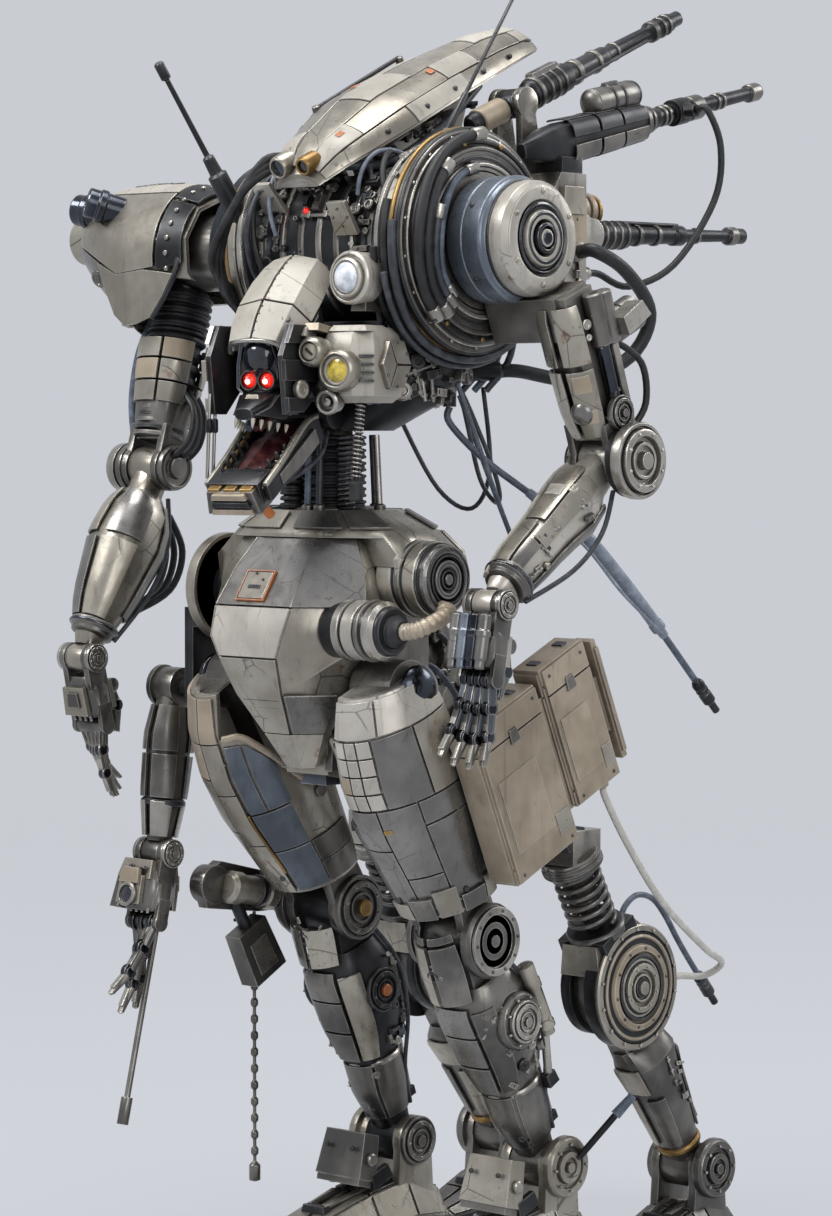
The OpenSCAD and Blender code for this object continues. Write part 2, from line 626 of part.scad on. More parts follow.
module low_gun() difference() {
    union() {
        gun_eye(lower_gun);
        gun(lower_gun, 2, [[4, 0], [4, 5.4], [12, 5.4], [14, 7], [36, 7], [38, 5], [76, 4.4], [77, 5.4],
            [84, 5.4], [85, 3.6],
            [124, 3], [125, 4.2], [138, 4.2], [138, 2.2], [116, 2.2], [116, 0]]);
    }
    translate(lower_gun) eye_bore(6, 4);
}

module lamp() difference() {
    translate([41, -32, 506]) rotate([-90, 0, 0]) {
        rotate_extrude() polygon([[0, 2], [8, 0], [11.5, 0], [12.5, 2], [12.5, 10], [10, 12], [10, 36],
            [0, 36]]);
    }
    barrel_cut();
}

// Aerial from p towards q
module aerial(p, q, outline) {
    v = q - p;
    translate(p) rotate([0, 0, atan2(v[1], v[0])]) rotate([0, acos(v[2] / norm(v)), 0])
        rotate_extrude() polygon([for (o = outline) [o[1], o[0]]]);
}

module aerials() difference() {
    union() {
        aerial([-50, -8, 528], [-62, -60, 612], [[0, 0], [0, 5.5], [38, 5], [39, 3.4], [48, 3],
            [49, 1.5], [92, 1.3], [93, 2.6],
            [101, 2.6], [102, 1.6], [102, 0]]);
        aerial([50, 18, 566], [50, 80, 652], [[0, 0], [0, 3.5], [16, 3.5], [17, 2], [40, 1.6], [41, 1.1],
            [106, 0.9], [106, 0]]);
    }
    barrel_cut();
}

// Cords: hand-chosen points, the first and last pairs square to the glands that they meet
gun_route = [[73.1, 199.5, 599.7], [80, 199.5, 599.7], [84, 206, 580], [82, 203, 552], [78, 174, 518],
    [72, 144, 506],
    [66, 127, 512], [66, 117.1, 512]];
hose_route = [[76.1, 100, 522], [86, 100, 522], [90, 120, 512], [86, 144, 492], [78, 138, 470],
    [66, 110, 458],
    [54.1, 78.1, 462], [48.1, 70.1, 462]];
loose_route = [[34, 48, 443.9], [34, 48, 436], [46, 60, 418], [64, 80, 398], [78, 100, 380],
    [84, 122, 358], [88, 150, 330],
    [90, 178, 302]];
box_route = [[89, 103, 251.6], [89, 105.8, 245.2], [93, 118, 222], [97, 142, 190], [98, 176, 163],
    [93, 198, 152], [82, 198, 144],
    [74, 188, 144], [74, 180.1, 144]];
cord_d = 3.6;
hose_d = 7;
gland_r = 3.4;
loose_end = loose_route[len(loose_route) - 1];
loose_way = unit(loose_end - loose_route[len(loose_route) - 2]);
module plug() translate(loose_end) rotate([0, 0, atan2(loose_way[1],
    loose_way[0])]) rotate([0, acos(loose_way[2]), 0])
    rotate_extrude() polygon([[0, 0.1], [2.6, 0.1], [3.4, 3], [3.4, 16], [2, 17], [2, 24], [0, 24]]);

// Head: drawn facing forward, then turned about the upright line through the neck

module head_turned() translate([0, neck_y, 0]) rotate([0, 0, head_turn]) translate([0, -neck_y, 0])
    children();

module skull_core() difference() {
    union() {
        difference() {
            union() {
                translate(neck) eye(10, 12.2, 4);
                translate(neck) rotate([90, 0, 0]) round_loft([[5, 0, 2, 11, 13], [10.5, 0, 3, 12, 17],
                    [18, 0, 6, 20, 24], [28, 0, 6, 23, 27], [36, 0, 3, 21, 26], [41, 0, 0, 15, 18],
                    [47, 0, -9, 11, 11]]);
            }
            // Flat under the face plate
            visor_frame() translate([-60, -40, -1.6]) cube([120, 160, 60]);
        }
        // Lugs of the jaw hinge
        for (s = [-1, 1]) translate([s * 15.5, 0, 0]) plate_x(-2.5, 2.5)
            polygon([[jaw_pivot[1] - 6, jaw_pivot[2]], [jaw_pivot[1] + 6, jaw_pivot[2]],
                [neck_y - 10, neck_z], [neck_y - 32, neck_z]]);
        translate(jaw_pivot) ears(7, 13, 5, 3);
        // Hood plates beside the face
        for (s = [-1, 1]) translate([s * 20.5, 0, 0]) plate_x(-1.4, 1.4)
            polygon([[neck_y - 28, neck_z - 14], [neck_y - 34, neck_z + 12], [neck_y - 52, neck_z + 13],
                [neck_y - 60, neck_z - 2], [neck_y - 56, neck_z - 30], [neck_y - 46, neck_z - 30]]);
        // Upper jaw
        translate([0, neck_y - 36, neck_z - 22]) rotate([108, 0, 0]) round_loft([[0, 0, 0, 13, 8],
            [12, 0, 0, 10, 6], [26, 0, 0, 5, 3]], 12);
    }
    translate(neck) eye_bore(13, 4);
    // Flat beside the lens housing
    translate([22, -120, 380]) cube([60, 140, 160]);
    // Eye sockets
    for (s = [-1, 1]) translate(eye_place(s)) sphere(r = 4.05);
}

function eye_place(s) = [s * 5, neck_y - 46, neck_z - 13.6];
// Frame that lies on the forehead: +Y runs back and up along it
module visor_frame() translate([0, neck_y - 43, neck_z + 5]) rotate([43, 0, 0]) children();

module visor() visor_frame() {
    rotate([-90, 0, 0]) channel_loft([[-5, 0, 2.6, 16, 8, 190, 350], [8, 0, 2, 19, 12, 185, 355],
        [34, 0, 2, 18, 13, 185, 355], [48, 0, 2, 16, 11, 190, 350], [56, 0, 3, 12, 8, 195, 345]],
            wall, 6);
    translate([-4, 18, -1.5]) cube([8, 26, 12]);
}

module lenses() {
    translate([22.1, neck_y - 16, neck_z - 7]) rotate([90, 0, 90]) round_loft([[0, 0, 0, 13, 13],
        [4, 0, 0, 17, 17],
        [24, 0, 0, 17, 16], [33, 0, 0, 11, 11]], 16, 0.6);
    translate([41, neck_y - 42, neck_z - 9]) rotate([-90, 0, 0]) rotate_extrude() polygon([[0, 2],
        [5, 2], [6, 0], [9, 0],
        [10, 2], [10, 16], [9, 24], [0, 24]]);
    translate([28.7, neck_y - 45, neck_z]) rotate([-90, 0, 0]) rotate_extrude() polygon([[0, 0],
        [5, 0], [6.5, 2], [6.5, 30], [0, 30]]);
}

module jaw_bone() translate(jaw_pivot) difference() {
    union() {
        rod_x(-12.5, 12.5, 6.5);
        rotate([jaw_drop, 0, 0]) {
            translate([0, 0, -6]) linear_extrude(8) difference() {
                polygon([[-12, 4], [12, 4], [12, -9], [16, -22], [17, -36], [13, -jaw_length],
                    [-13, -jaw_length], [-17, -36], [-16, -22], [-12, -9]]);
                polygon([[-7, -14], [7, -14], [11, -36], [8, 12 - jaw_length], [-8, 12 - jaw_length],
                    [-11, -36]]);
            }
            translate([0, 6 - jaw_length, -2]) cube([29, 14, 14], center = true);
            // Teeth
            for (s = [-1, 1], i = [0:4]) translate([s * (11 + 0.7 * i), 10 + 7 * i - jaw_length, 1])
                cylinder(h = 7, r1 = 2, r2 = 0.6);
        }
    }
    eye_bore(13, 3);
}

// Arms: each part is drawn about its upper joint and runs down -Z

module right_upper_arm() {
    difference() {
        union() {
            rod_x(barrel_half + 28.5 - right_arm_x, 14, 20);
            translate([0, 0, 40 - upper_arm_length]) cylinder(h = upper_arm_length - 50, r = 9);
        }
        rod_x(-60, 15, shoulder_axle + run_gap);
    }
    translate([0, 0, -upper_arm_length])
        round_loft([[16, 0, 0, 12, 10], [24, 0, 0, 14, 13], [36, 0, 0, 15, 14], [43.8, 0, 0, 12, 12]]);
    arm_fork(13);
}

// Fork of the elbow at the end of an upper arm, with a round cover
module arm_fork(cover_r) translate([0, 0, -upper_arm_length]) {
    ears(12, 9, 4);
    for (s = [-1, 1]) translate([s * 11, 0, 0]) plate_x(-2, 2) polygon([[-9, 22], [-10, 0], [10, 0],
        [9, 22]]);
    translate([0, 0, 18]) cube([26, 16, 8], center = true);
    round_cover(12.9, cover_r, 6);
}

// Shoulder pod: a faceted hood with a camera barrel at its outer end
hood_form = [[-24, 0, 0, 29, 29], [-6, 2, 0, 38, 34], [20, 4, 0, 41, 34], [50, -6, 0, 30, 27],
    [66, -10, 0, 22, 20]];
hood_hollow = [for (s = hood_form) [1.04 * s[0], s[1], s[2], s[3] - wall, s[4] - wall]];
module hood() difference() {
    rotate([0, 90, 0]) round_loft(hood_form, 10, 1);
    rotate([0, 90, 0]) round_loft(hood_hollow, 10, 1);
    // Room for the arm below
    translate([-30, -50, -70]) cube([50, 100, 50]);
}

module pod() {
    hood();
    difference() {
        rod_x(14.1, 18, 29);
        translate([0, 0, -50]) cube([60, 100, 60], center = true);
    }
    translate([0, 0, 10]) turned_x([[17, 0], [17, 12], [40, 12], [50, 15.5], [70, 15.5], [72, 13],
        [84, 13], [86, 11], [86, 8], [78, 7], [78, 0]]);
    // Rib that carries the hood
    plate_x(22, 46) polygon([[-3, 16], [3, 16], [3, 33.3], [-3, 33.3]]);
}

module forearm(stations) difference() {
    union() {
        rod_x(-8.4, 8.4, 11);
        round_loft(stations, 16, 0.75);
        translate([0, 0, -forearm_length]) rod_x(-5.7, 5.7, 7);
    }
    eye_bore(9);
    translate([0, 0, -forearm_length]) eye_bore(6, small_axle);
}
right_fore_form = [[6 - forearm_length, 0, 0, 5.6, 6], [11 - forearm_length, 0, 0, 7, 8],
    [-78, 0, 0, 13, 14],
    [-44, 0, 1, 17, 19], [-26, 0, 1, 15, 16], [-15, 0, 0, 8.2, 9], [-5, 0, 0, 8.2, 9]];
left_fore_form = [[6 - forearm_length, 0, 0, 5.6, 6], [11 - forearm_length, 0, 0, 7, 8],
    [-84, 0, 0, 9, 11],
    [-56, 0, 1, 9, 12], [-30, 0, 2, 12, 15], [-18, 0, 0, 8.2, 11], [-5, 0, 0, 8.2, 9]];

module palm(thumbed) {
    ears(7.5, 6.2, 3.5, small_axle);
    for (s = [-1, 1]) {
        translate([s * 7.95, 0, 0]) plate_x(-1.75, 1.75) polygon([[-6, 0], [6, 0], [6, -16], [-6, -16]]);
        translate([s * 10.2, 0, 0]) plate_x(-1.2, 1.2) polygon([[-4, -24], [4, -24], [4, -36],
            [-4, -36]]);
    }
    round_loft([[-30.5, 0, 0, 9, 6], [-26, 0, 0, 11.4, 8], [-16, 0, 0, 11, 8], [-9, 0, 0, 8, 6]]);
    translate([0, 0, -36]) ears(4.4, 9, 2.4, small_axle);
    if (thumbed) translate([0, 13, -18]) {
        ears(3.8, 3.4, 2.2, small_axle - 1);
        for (s = [-1, 1]) translate([s * 4.5, 0, 0]) plate_x(-1.1, 1.1) polygon([[0, -3.6], [0, 3.6],
            [-8, 4], [-8, -4]]);
    }
}

// Fingers on one knuckle barrel, each with three bones: reach, curl (forward negative), and spread
// between neighbours
module fingers(places, reach, curl, fan) difference() {
    union() {
        rod_x(-8.4, 8.4, 4.2);
        for (i = [0:len(places) - 1]) let (k = reach * (1 - 0.012 * abs(places[i])))
            translate([places[i], 0, 0]) rotate([fan * (i - (len(places) - 1) / 2), 0, 0]) {
                plate_x(-1.7, 1.7) polygon([[-3, 0], [3, 0], [3, -0.34 * k],
                    [2.4 + 0.3 * curl, -0.68 * k],
                    [curl + 0.8, -k], [curl - 0.8, -k], [0.3 * curl - 2.4, -0.66 * k], [-3, -0.34 * k]]);
                translate([0, 0, -0.34 * k]) rod_x(-1.9, 1.9, 3.5);
                translate([0, 0.3 * curl, -0.67 * k]) rod_x(-1.9, 1.9, 3);
            }
    }
    eye_bore(9, small_axle);
}

module thumb() difference() {
    union() {
        rod_x(-3, 3, 3.6);
        plate_x(-2.4, 2.4) polygon([[-3, 0], [3, 0], [6.5, -12], [2, -26], [0.6, -25], [1.6, -12]]);
        translate([0, 4, -12]) rod_x(-2.7, 2.7, 3);
    }
    eye_bore(4, small_axle - 1);
}

module left_drum() translate([0, shoulder_y, shoulder_z]) turned_x([[71, shoulder_axle + run_gap],
    [71, 25], [74, 29],
    [78, 30], [left_arm_x - 18, 30], [left_arm_x - 16, 28.5], [left_arm_x - 16,
        shoulder_axle + run_gap]]);

module left_cap() translate([0, shoulder_y, shoulder_z]) round_cover(left_arm_x - 15.9, 27, 15);

module left_upper_arm() {
    difference() {
        union() {
            translate([-18, 0, -38]) cube([44, 26, 22], center = true);
            plate_x(-9, 9) polygon([[-11, -28], [11, -28], [9, 20 - upper_arm_length],
                [-9, 20 - upper_arm_length]]);
            // Piston rods beside the strut
            for (s = [-1, 1]) translate([s * 5, 13, 20 - upper_arm_length])
                cylinder(h = upper_arm_length - 56, r = 4);
            translate([0, 9, 24 - upper_arm_length]) cube([18, 12, 6], center = true);
        }
        rod_x(-60, -15.9, 30.1);
        rod_x(-16, 20, 27.6);
    }
    arm_fork(17);
}

module third_arm() difference() {
    union() {
        rod_x(-7, 7, 10);
        round_loft([[6 - hip_arm_length, 0, 0, 5.6, 6], [11 - hip_arm_length, 0, 0, 6, 7],
            [-56, 0, 0, 9, 10], [-26, 0, 0, 9, 12],
            [-10, 0, 0, 6.8, 9], [-5, 0, 0, 6.8, 8]]);
        translate([0, 0, -hip_arm_length]) rod_x(-5.7, 5.7, 7);
    }
    eye_bore(8);
    translate([0, 0, -hip_arm_length]) eye_bore(6, small_axle);
}

module third_palm() {
    palm(false);
    round_loft([[-31, 2.4, 0, 10, 9], [-26, 2.4, 0, 12, 12], [-15, 2.4, 0, 13, 12],
        [-10, 2.4, 0, 11, 9]], 16, 0.7);
    // Thin rod that hangs behind the fingers
    translate([0, 8, -140]) {
        cylinder(h = 120, r = 1.6);
        cylinder(h = 14, r = 3);
    }
}

// A place on a leaned limb: y and z are along the limb's own frame
function limb_place(p, lean, x, y, z) = [p[0] + x, p[1] + y * cos(lean) - z * sin(lean),
    p[2] + y * sin(lean) + z * cos(lean)];
chain_top = limb_place(fr_hip, right_thigh_lean, -32.5, -24, 7.7 - thigh_length);
chain_length = 143;
chain_beads = 15;
module chain() {
    pitch = (chain_length - 12) / chain_beads;
    translate(chain_top - [0, 0, chain_length]) rotate_extrude() polygon(concat(
        [[0, 0], [3, 1], [3, 9], [0.9, 11]],
        [for (i = [0:chain_beads - 1]) let (z = 12 + i * pitch) each [[0.9, z + 0.2 * pitch],
            [2, z + 0.35 * pitch],
            [2, z + 0.65 * pitch], [0.9, z + 0.8 * pitch]]],
        [[0.9, chain_length], [0, chain_length]]));
}

// The sub-parts, each in its place

module pelvis_frame() placed(steel) pelvis_body();
module pelvis_cowl() placed(sand) cowl();
module pelvis_front_plate() placed(sand) front_plate();
module hip_drives() placed(dark) drives();
module rear_frame() placed(steel) rear_strut_frame();
module pannier_boxes() placed("#8f7f66") panniers();
module waist_boot() placed("#1c1c1d") {
    translate([0, 0, 374.1]) ribbed_boot(waist_top_z - 376, waist_post_r + 0.05, 15, 9);
    // Ribbed hoses and a sprung rod beside it
    for (p = [[-21, -7], [-12, -18.5]]) translate([p[0], p[1], 393.1]) ribbed_boot(waist_top_z - 395,
        2.5, 5.5, 9);
    translate([19, -12, 393.1]) ribbed_boot(waist_top_z - 395, 1.2, 4, 14);
}
module torso_barrel() placed(dark) barrel();
module shoulder_rings() placed(steel) left_rings();
module chest_frame() placed(dark) chest();
module carapace() placed(sand) back_shell();
module gun_mount() placed(steel) guns_base();
module chest_lamp() placed(pale) lamp();
module antennas() placed(dark) aerials();
module gun_cord() placed("#1c1c1d") cord(gun_route, 5, cord_d, [1, -1, 0.3]);
module chest_hose() placed("#1c1c1d") cord(hose_route, 5, hose_d, [1, -1, 0.3]);
module loose_cord() placed("#3a4046") {
    cord(loose_route, 4, cord_d, [1, 0.2, 0.3]);
    plug();
}
module upper_cannon() placed(steel) high_gun();
module middle_cannon() placed(dark) mid_gun();
module lower_cannon() placed(steel) low_gun();
module skull() placed(dark) head_turned() skull_core();
module face_plate() placed(pale) head_turned() visor();
module lens_housing() placed(pale) head_turned() lenses();
module eyes() placed("#d02818") head_turned() for (s = [-1, 1]) translate(eye_place(s)) sphere(r = 4);
module jaw() placed(dark) head_turned() jaw_bone();
module right_pod() placed(sand) limb(r_shoulder, right_upper_lean, -1) pod();
module r_upper_arm() placed(dark) limb(r_shoulder, right_upper_lean, -1) right_upper_arm();
module r_arm_boot() placed("#1c1c1d") limb(r_shoulder, right_upper_lean, -1)
    translate([0, 0, 44 - upper_arm_length]) ribbed_boot(upper_arm_length - 65, 9.05, 15, 7);
module r_forearm() placed(sand) limb(r_elbow, right_fore_lean, -1) forearm(right_fore_form);
module r_palm() placed(dark) limb(r_wrist, r_hand_lean, -1) palm(true);
module r_fingers() placed(dark) limb(limb_place(r_wrist, r_hand_lean, 0, 0, -36), r_hand_lean, -1)
    fingers([-6.3, -2.1, 2.1, 6.3], finger_length + 4, 9, 9);
module r_thumb() placed(dark) limb(limb_place(r_wrist, r_hand_lean, 0, 13, -18), r_hand_lean, -1) thumb();
module l_shoulder_drum() placed(blued) left_drum();
module l_shoulder_cap() placed(pale) left_cap();
module l_upper_arm() placed(steel) limb(l_shoulder, left_upper_lean) left_upper_arm();
module l_forearm() placed(pale) limb(l_elbow, left_fore_lean) forearm(left_fore_form);
module l_palm() placed(steel) limb(l_wrist, l_hand_lean) palm(true);
module l_fingers() placed(steel) limb(limb_place(l_wrist, l_hand_lean, 0, 0, -36), l_hand_lean)
    fingers([-6.3, -2.1, 2.1, 6.3], finger_length + 8, -5, 8);
module l_thumb() placed(steel) limb(limb_place(l_wrist, l_hand_lean, 0, 13, -18), l_hand_lean) thumb();
module hip_arm() placed(sand) limb(hip_arm_pivot, hip_arm_lean, -1) third_arm();
module hip_arm_palm() placed(dark) limb(hip_arm_wrist, hip_hand_lean, -1) third_palm();
module hip_arm_fingers() placed(steel) limb(limb_place(hip_arm_wrist, hip_hand_lean, 0, 0, -36),
    hip_hand_lean, -1)
    fingers([-6, 0, 6], finger_length + 12, -7, 20);
module hanging_chain() placed(steel) chain();
module fr_thigh_shell() placed(sand) limb(fr_hip, right_thigh_lean, -1) thigh_shell();
module fr_thigh_link() placed(dark) limb(fr_hip, right_thigh_lean, -1) thigh_link(true);
module fr_shank() placed(blued) limb(fr_knee, shin_lean(fr_knee, fr_ankle), -1)
    front_shank(norm(fr_ankle - fr_knee));
module fr_foot() placed(sand) limb(fr_ankle, 0, -1) foot(ankle_height, toe_reach, heel_reach);
module fl_thigh_shell() placed(pale) limb(fl_hip, left_thigh_lean) thigh_shell();
module fl_thigh_link() placed(dark) limb(fl_hip, left_thigh_lean) thigh_link(false);
module fl_shank() placed(blued) limb(fl_knee, shin_lean(fl_knee, fl_ankle))
    front_shank(norm(fl_ankle - fl_knee));
module fl_foot() placed(sand) limb(fl_ankle, 0) foot(ankle_height, toe_reach, heel_reach);
module rear_side(side) limb([side * rear_half_width, drum_y, drum_z], strut_lean, side) children();
module rl_thigh() placed(dark) {
    rear_side(1) rear_thigh();
    translate([box_route[8][0], drum_y + drum_r - 3, drum_z]) rotate([-90, 0,
        0]) cylinder(h = 180 - drum_y - drum_r + 3, r = gland_r);
}
module rl_spring() placed(steel) rear_side(1) rear_spring();
module rl_shank() placed(steel) limb(rear_drum, rear_shin_lean) rear_shank();
module rl_foot() placed(dark) limb(rear_ankle, 0) foot(rear_ankle_z, rear_toe_reach, rear_heel_reach);
module rr_thigh() placed(dark) rear_side(-1) rear_thigh();
module rr_spring() placed(steel) rear_side(-1) rear_spring();
module rr_shank() placed(steel) limb([-rear_half_width, drum_y, drum_z], rear_shin_lean, -1) rear_shank();
module rr_foot() placed(dark) limb([-rear_half_width, rear_ankle_y, rear_ankle_z],
    0, -1) foot(rear_ankle_z, rear_toe_reach, rear_heel_reach);
module box_cord() placed("#d6d5d0") cord(box_route, 5, cord_d, [1, 0, 0]);

pelvis_frame();
pelvis_cowl();
pelvis_front_plate();
hip_drives();
rear_frame();
pannier_boxes();
waist_boot();
torso_barrel();
shoulder_rings();
chest_frame();
carapace();
gun_mount();
chest_lamp();
antennas();
gun_cord();
chest_hose();
loose_cord();
upper_cannon();
middle_cannon();
lower_cannon();
skull();
face_plate();
lens_housing();
eyes();
jaw();
right_pod();
r_upper_arm();
r_arm_boot();
r_forearm();
r_palm();
r_fingers();
r_thumb();
l_shoulder_drum();
l_shoulder_cap();
l_upper_arm();
l_forearm();
l_palm();
l_fingers();
l_thumb();
hip_arm();
hip_arm_palm();
hip_arm_fingers();
hanging_chain();
fr_thigh_shell();
fr_thigh_link();
fr_shank();
fr_foot();
fl_thigh_shell();
fl_thigh_link();
fl_shank();
fl_foot();
rl_thigh();
rl_spring();
rl_shank();
rl_foot();
rr_thigh();
rr_spring();
rr_shank();
rr_foot();
box_cord();
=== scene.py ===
"""Looks of the beast-headed walking robot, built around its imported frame.

Places are written in the robot's own frame, in millimetres: +X is the robot's left, -Y is
forward, +Z is up, and the waist stands at x = y = 0. Limb parts are written in the limb's
frame, where -Z runs down the limb and +X points away from the body.
"""
import json
import math
import random

import bmesh
import bpy
from mathutils import Matrix, Vector


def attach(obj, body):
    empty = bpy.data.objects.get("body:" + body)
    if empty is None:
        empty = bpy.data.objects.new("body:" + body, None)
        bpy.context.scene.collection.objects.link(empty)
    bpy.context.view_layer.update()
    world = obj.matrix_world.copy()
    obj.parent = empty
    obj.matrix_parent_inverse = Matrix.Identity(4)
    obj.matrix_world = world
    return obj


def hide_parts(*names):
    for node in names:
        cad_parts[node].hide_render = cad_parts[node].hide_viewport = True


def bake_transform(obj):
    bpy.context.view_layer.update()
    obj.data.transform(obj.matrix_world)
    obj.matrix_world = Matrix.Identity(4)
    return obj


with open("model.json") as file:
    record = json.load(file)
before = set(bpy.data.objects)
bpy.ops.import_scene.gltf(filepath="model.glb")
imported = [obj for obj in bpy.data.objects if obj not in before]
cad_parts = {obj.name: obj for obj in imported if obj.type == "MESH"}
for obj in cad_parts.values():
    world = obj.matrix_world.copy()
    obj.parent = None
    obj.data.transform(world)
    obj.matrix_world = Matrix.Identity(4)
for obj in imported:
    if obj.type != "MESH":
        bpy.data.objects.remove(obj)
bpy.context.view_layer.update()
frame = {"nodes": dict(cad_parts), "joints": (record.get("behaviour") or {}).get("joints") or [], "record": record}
chance = random.Random(7)

# Frames

MM = 0.001
ORIGIN_SHIFT = Vector((42.5, -90.1, 0.0))
ROBOT = Matrix.Translation(ORIGIN_SHIFT * MM) @ Matrix.Diagonal((MM, MM, MM, 1))
JOINT = {j["name"]: Vector(j["pos_m"]) for j in frame["joints"] if "pos_m" in j}


def limb(top, end, side=1):
    """Frame at the joint top, with -Z towards the joint end, mirrored for the right side."""
    run = JOINT[end] - JOINT[top]
    lean = math.atan2(run.y, -run.z)
    turn = Matrix.Rotation(lean, 4, "X")
    return Matrix.Translation(JOINT[top]) @ turn @ Matrix.Diagonal((side * MM, MM, MM, 1))


def shift(m, x=0, y=0, z=0, tilt=0, yaw=0, roll=0):
    """A frame moved within frame m and turned about its own X, Z and Y, in degrees."""
    turn = (Matrix.Rotation(math.radians(tilt), 4, "X") @ Matrix.Rotation(math.radians(yaw), 4, "Z")
            @ Matrix.Rotation(math.radians(roll), 4, "Y"))
    return m @ Matrix.Translation((x, y, z)) @ turn


# Camera at the photograph's angle

VIEW_AZIMUTH, VIEW_ELEVATION, VIEW_DISTANCE = 42.0, 3.0, 1.75
VIEW_TARGET = Vector((0.0726, -0.0630, 0.3435))
LENS_MM, SENSOR_MM = 103.6, 36.0


def make_camera():
    """Camera that looks at the robot from the photo's side."""
    data = bpy.data.cameras.new("camera")
    data.lens = LENS_MM
    data.sensor_width = SENSOR_MM
    data.clip_start, data.clip_end = 0.05, 100
    camera = bpy.data.objects.new("camera", data)
    bpy.context.scene.collection.objects.link(camera)
    a, e = math.radians(VIEW_AZIMUTH), math.radians(VIEW_ELEVATION)
    back = Vector((math.sin(a) * math.cos(e), -math.cos(a) * math.cos(e), math.sin(e)))
    camera.location = VIEW_TARGET + back * VIEW_DISTANCE
    camera.rotation_mode = "QUATERNION"
    camera.rotation_quaternion = (-back).to_track_quat("-Z", "Y")
    bpy.context.scene.camera = camera


make_camera()

# Finishes


class Graph:
    """Short way to add and link shader nodes."""

    def __init__(self, name):
        self.material = bpy.data.materials.new(name)
        self.material.use_nodes = True
        self.tree = self.material.node_tree
        self.tree.nodes.clear()

    def add(self, kind, inputs=None, **settings):
        node = self.tree.nodes.new("ShaderNode" + kind)
        for key, value in settings.items():
            setattr(node, key, value)
        for key, value in (inputs or {}).items():
            if isinstance(value, bpy.types.NodeSocket):
                self.tree.links.new(value, node.inputs[key])
            else:
                node.inputs[key].default_value = value
        return node

    def noise(self, where, scale, detail=4.0):
        inputs = {"Vector": where, "Scale": scale, "Detail": detail, "Roughness": 0.6}
        return self.add("TexNoise", inputs).outputs["Fac"]

    def spread(self, value, low, high, to_low=0.0, to_high=1.0):
        inputs = {"Value": value, "From Min": low, "From Max": high, "To Min": to_low, "To Max": to_high}
        return self.add("MapRange", inputs, interpolation_type="SMOOTHSTEP").outputs["Result"]

    def math(self, operation, a, b):
        return self.add("Math", {0: a, 1: b}, operation=operation, use_clamp=True).outputs[0]

    def mix(self, share, a, b, blend="MIX"):
        return self.add("Mix", {0: share, 6: a, 7: b}, data_type="RGBA", blend_type=blend).outputs[2]

    def seen(self):
        path = self.add("LightPath").outputs
        straight = self.math("MAXIMUM", path["Is Camera Ray"], path["Is Transmission Ray"])
        return self.math("MAXIMUM", straight, path["Is Glossy Ray"])

    def close(self, shader):
        output = self.add("OutputMaterial")
        self.tree.links.new(shader.outputs[0], output.inputs["Surface"])
        return self.material


def rgb(red, green, blue):
    """A colour given as it shows on screen, 0 to 255, as scene-linear."""
    return tuple((c / 255 / 12.92 if c < 10.4 else ((c / 255 + 0.055) / 1.055) ** 2.4)
                 for c in (red, green, blue)) + (1.0,)


# Colour of the streaks and cracks, and of the painted shade in corners and creases.
GRIME_AND_SHADE = rgb(38, 33, 28)
BARE_METAL = rgb(190, 187, 180)
EDGE_WEAR = 0.7


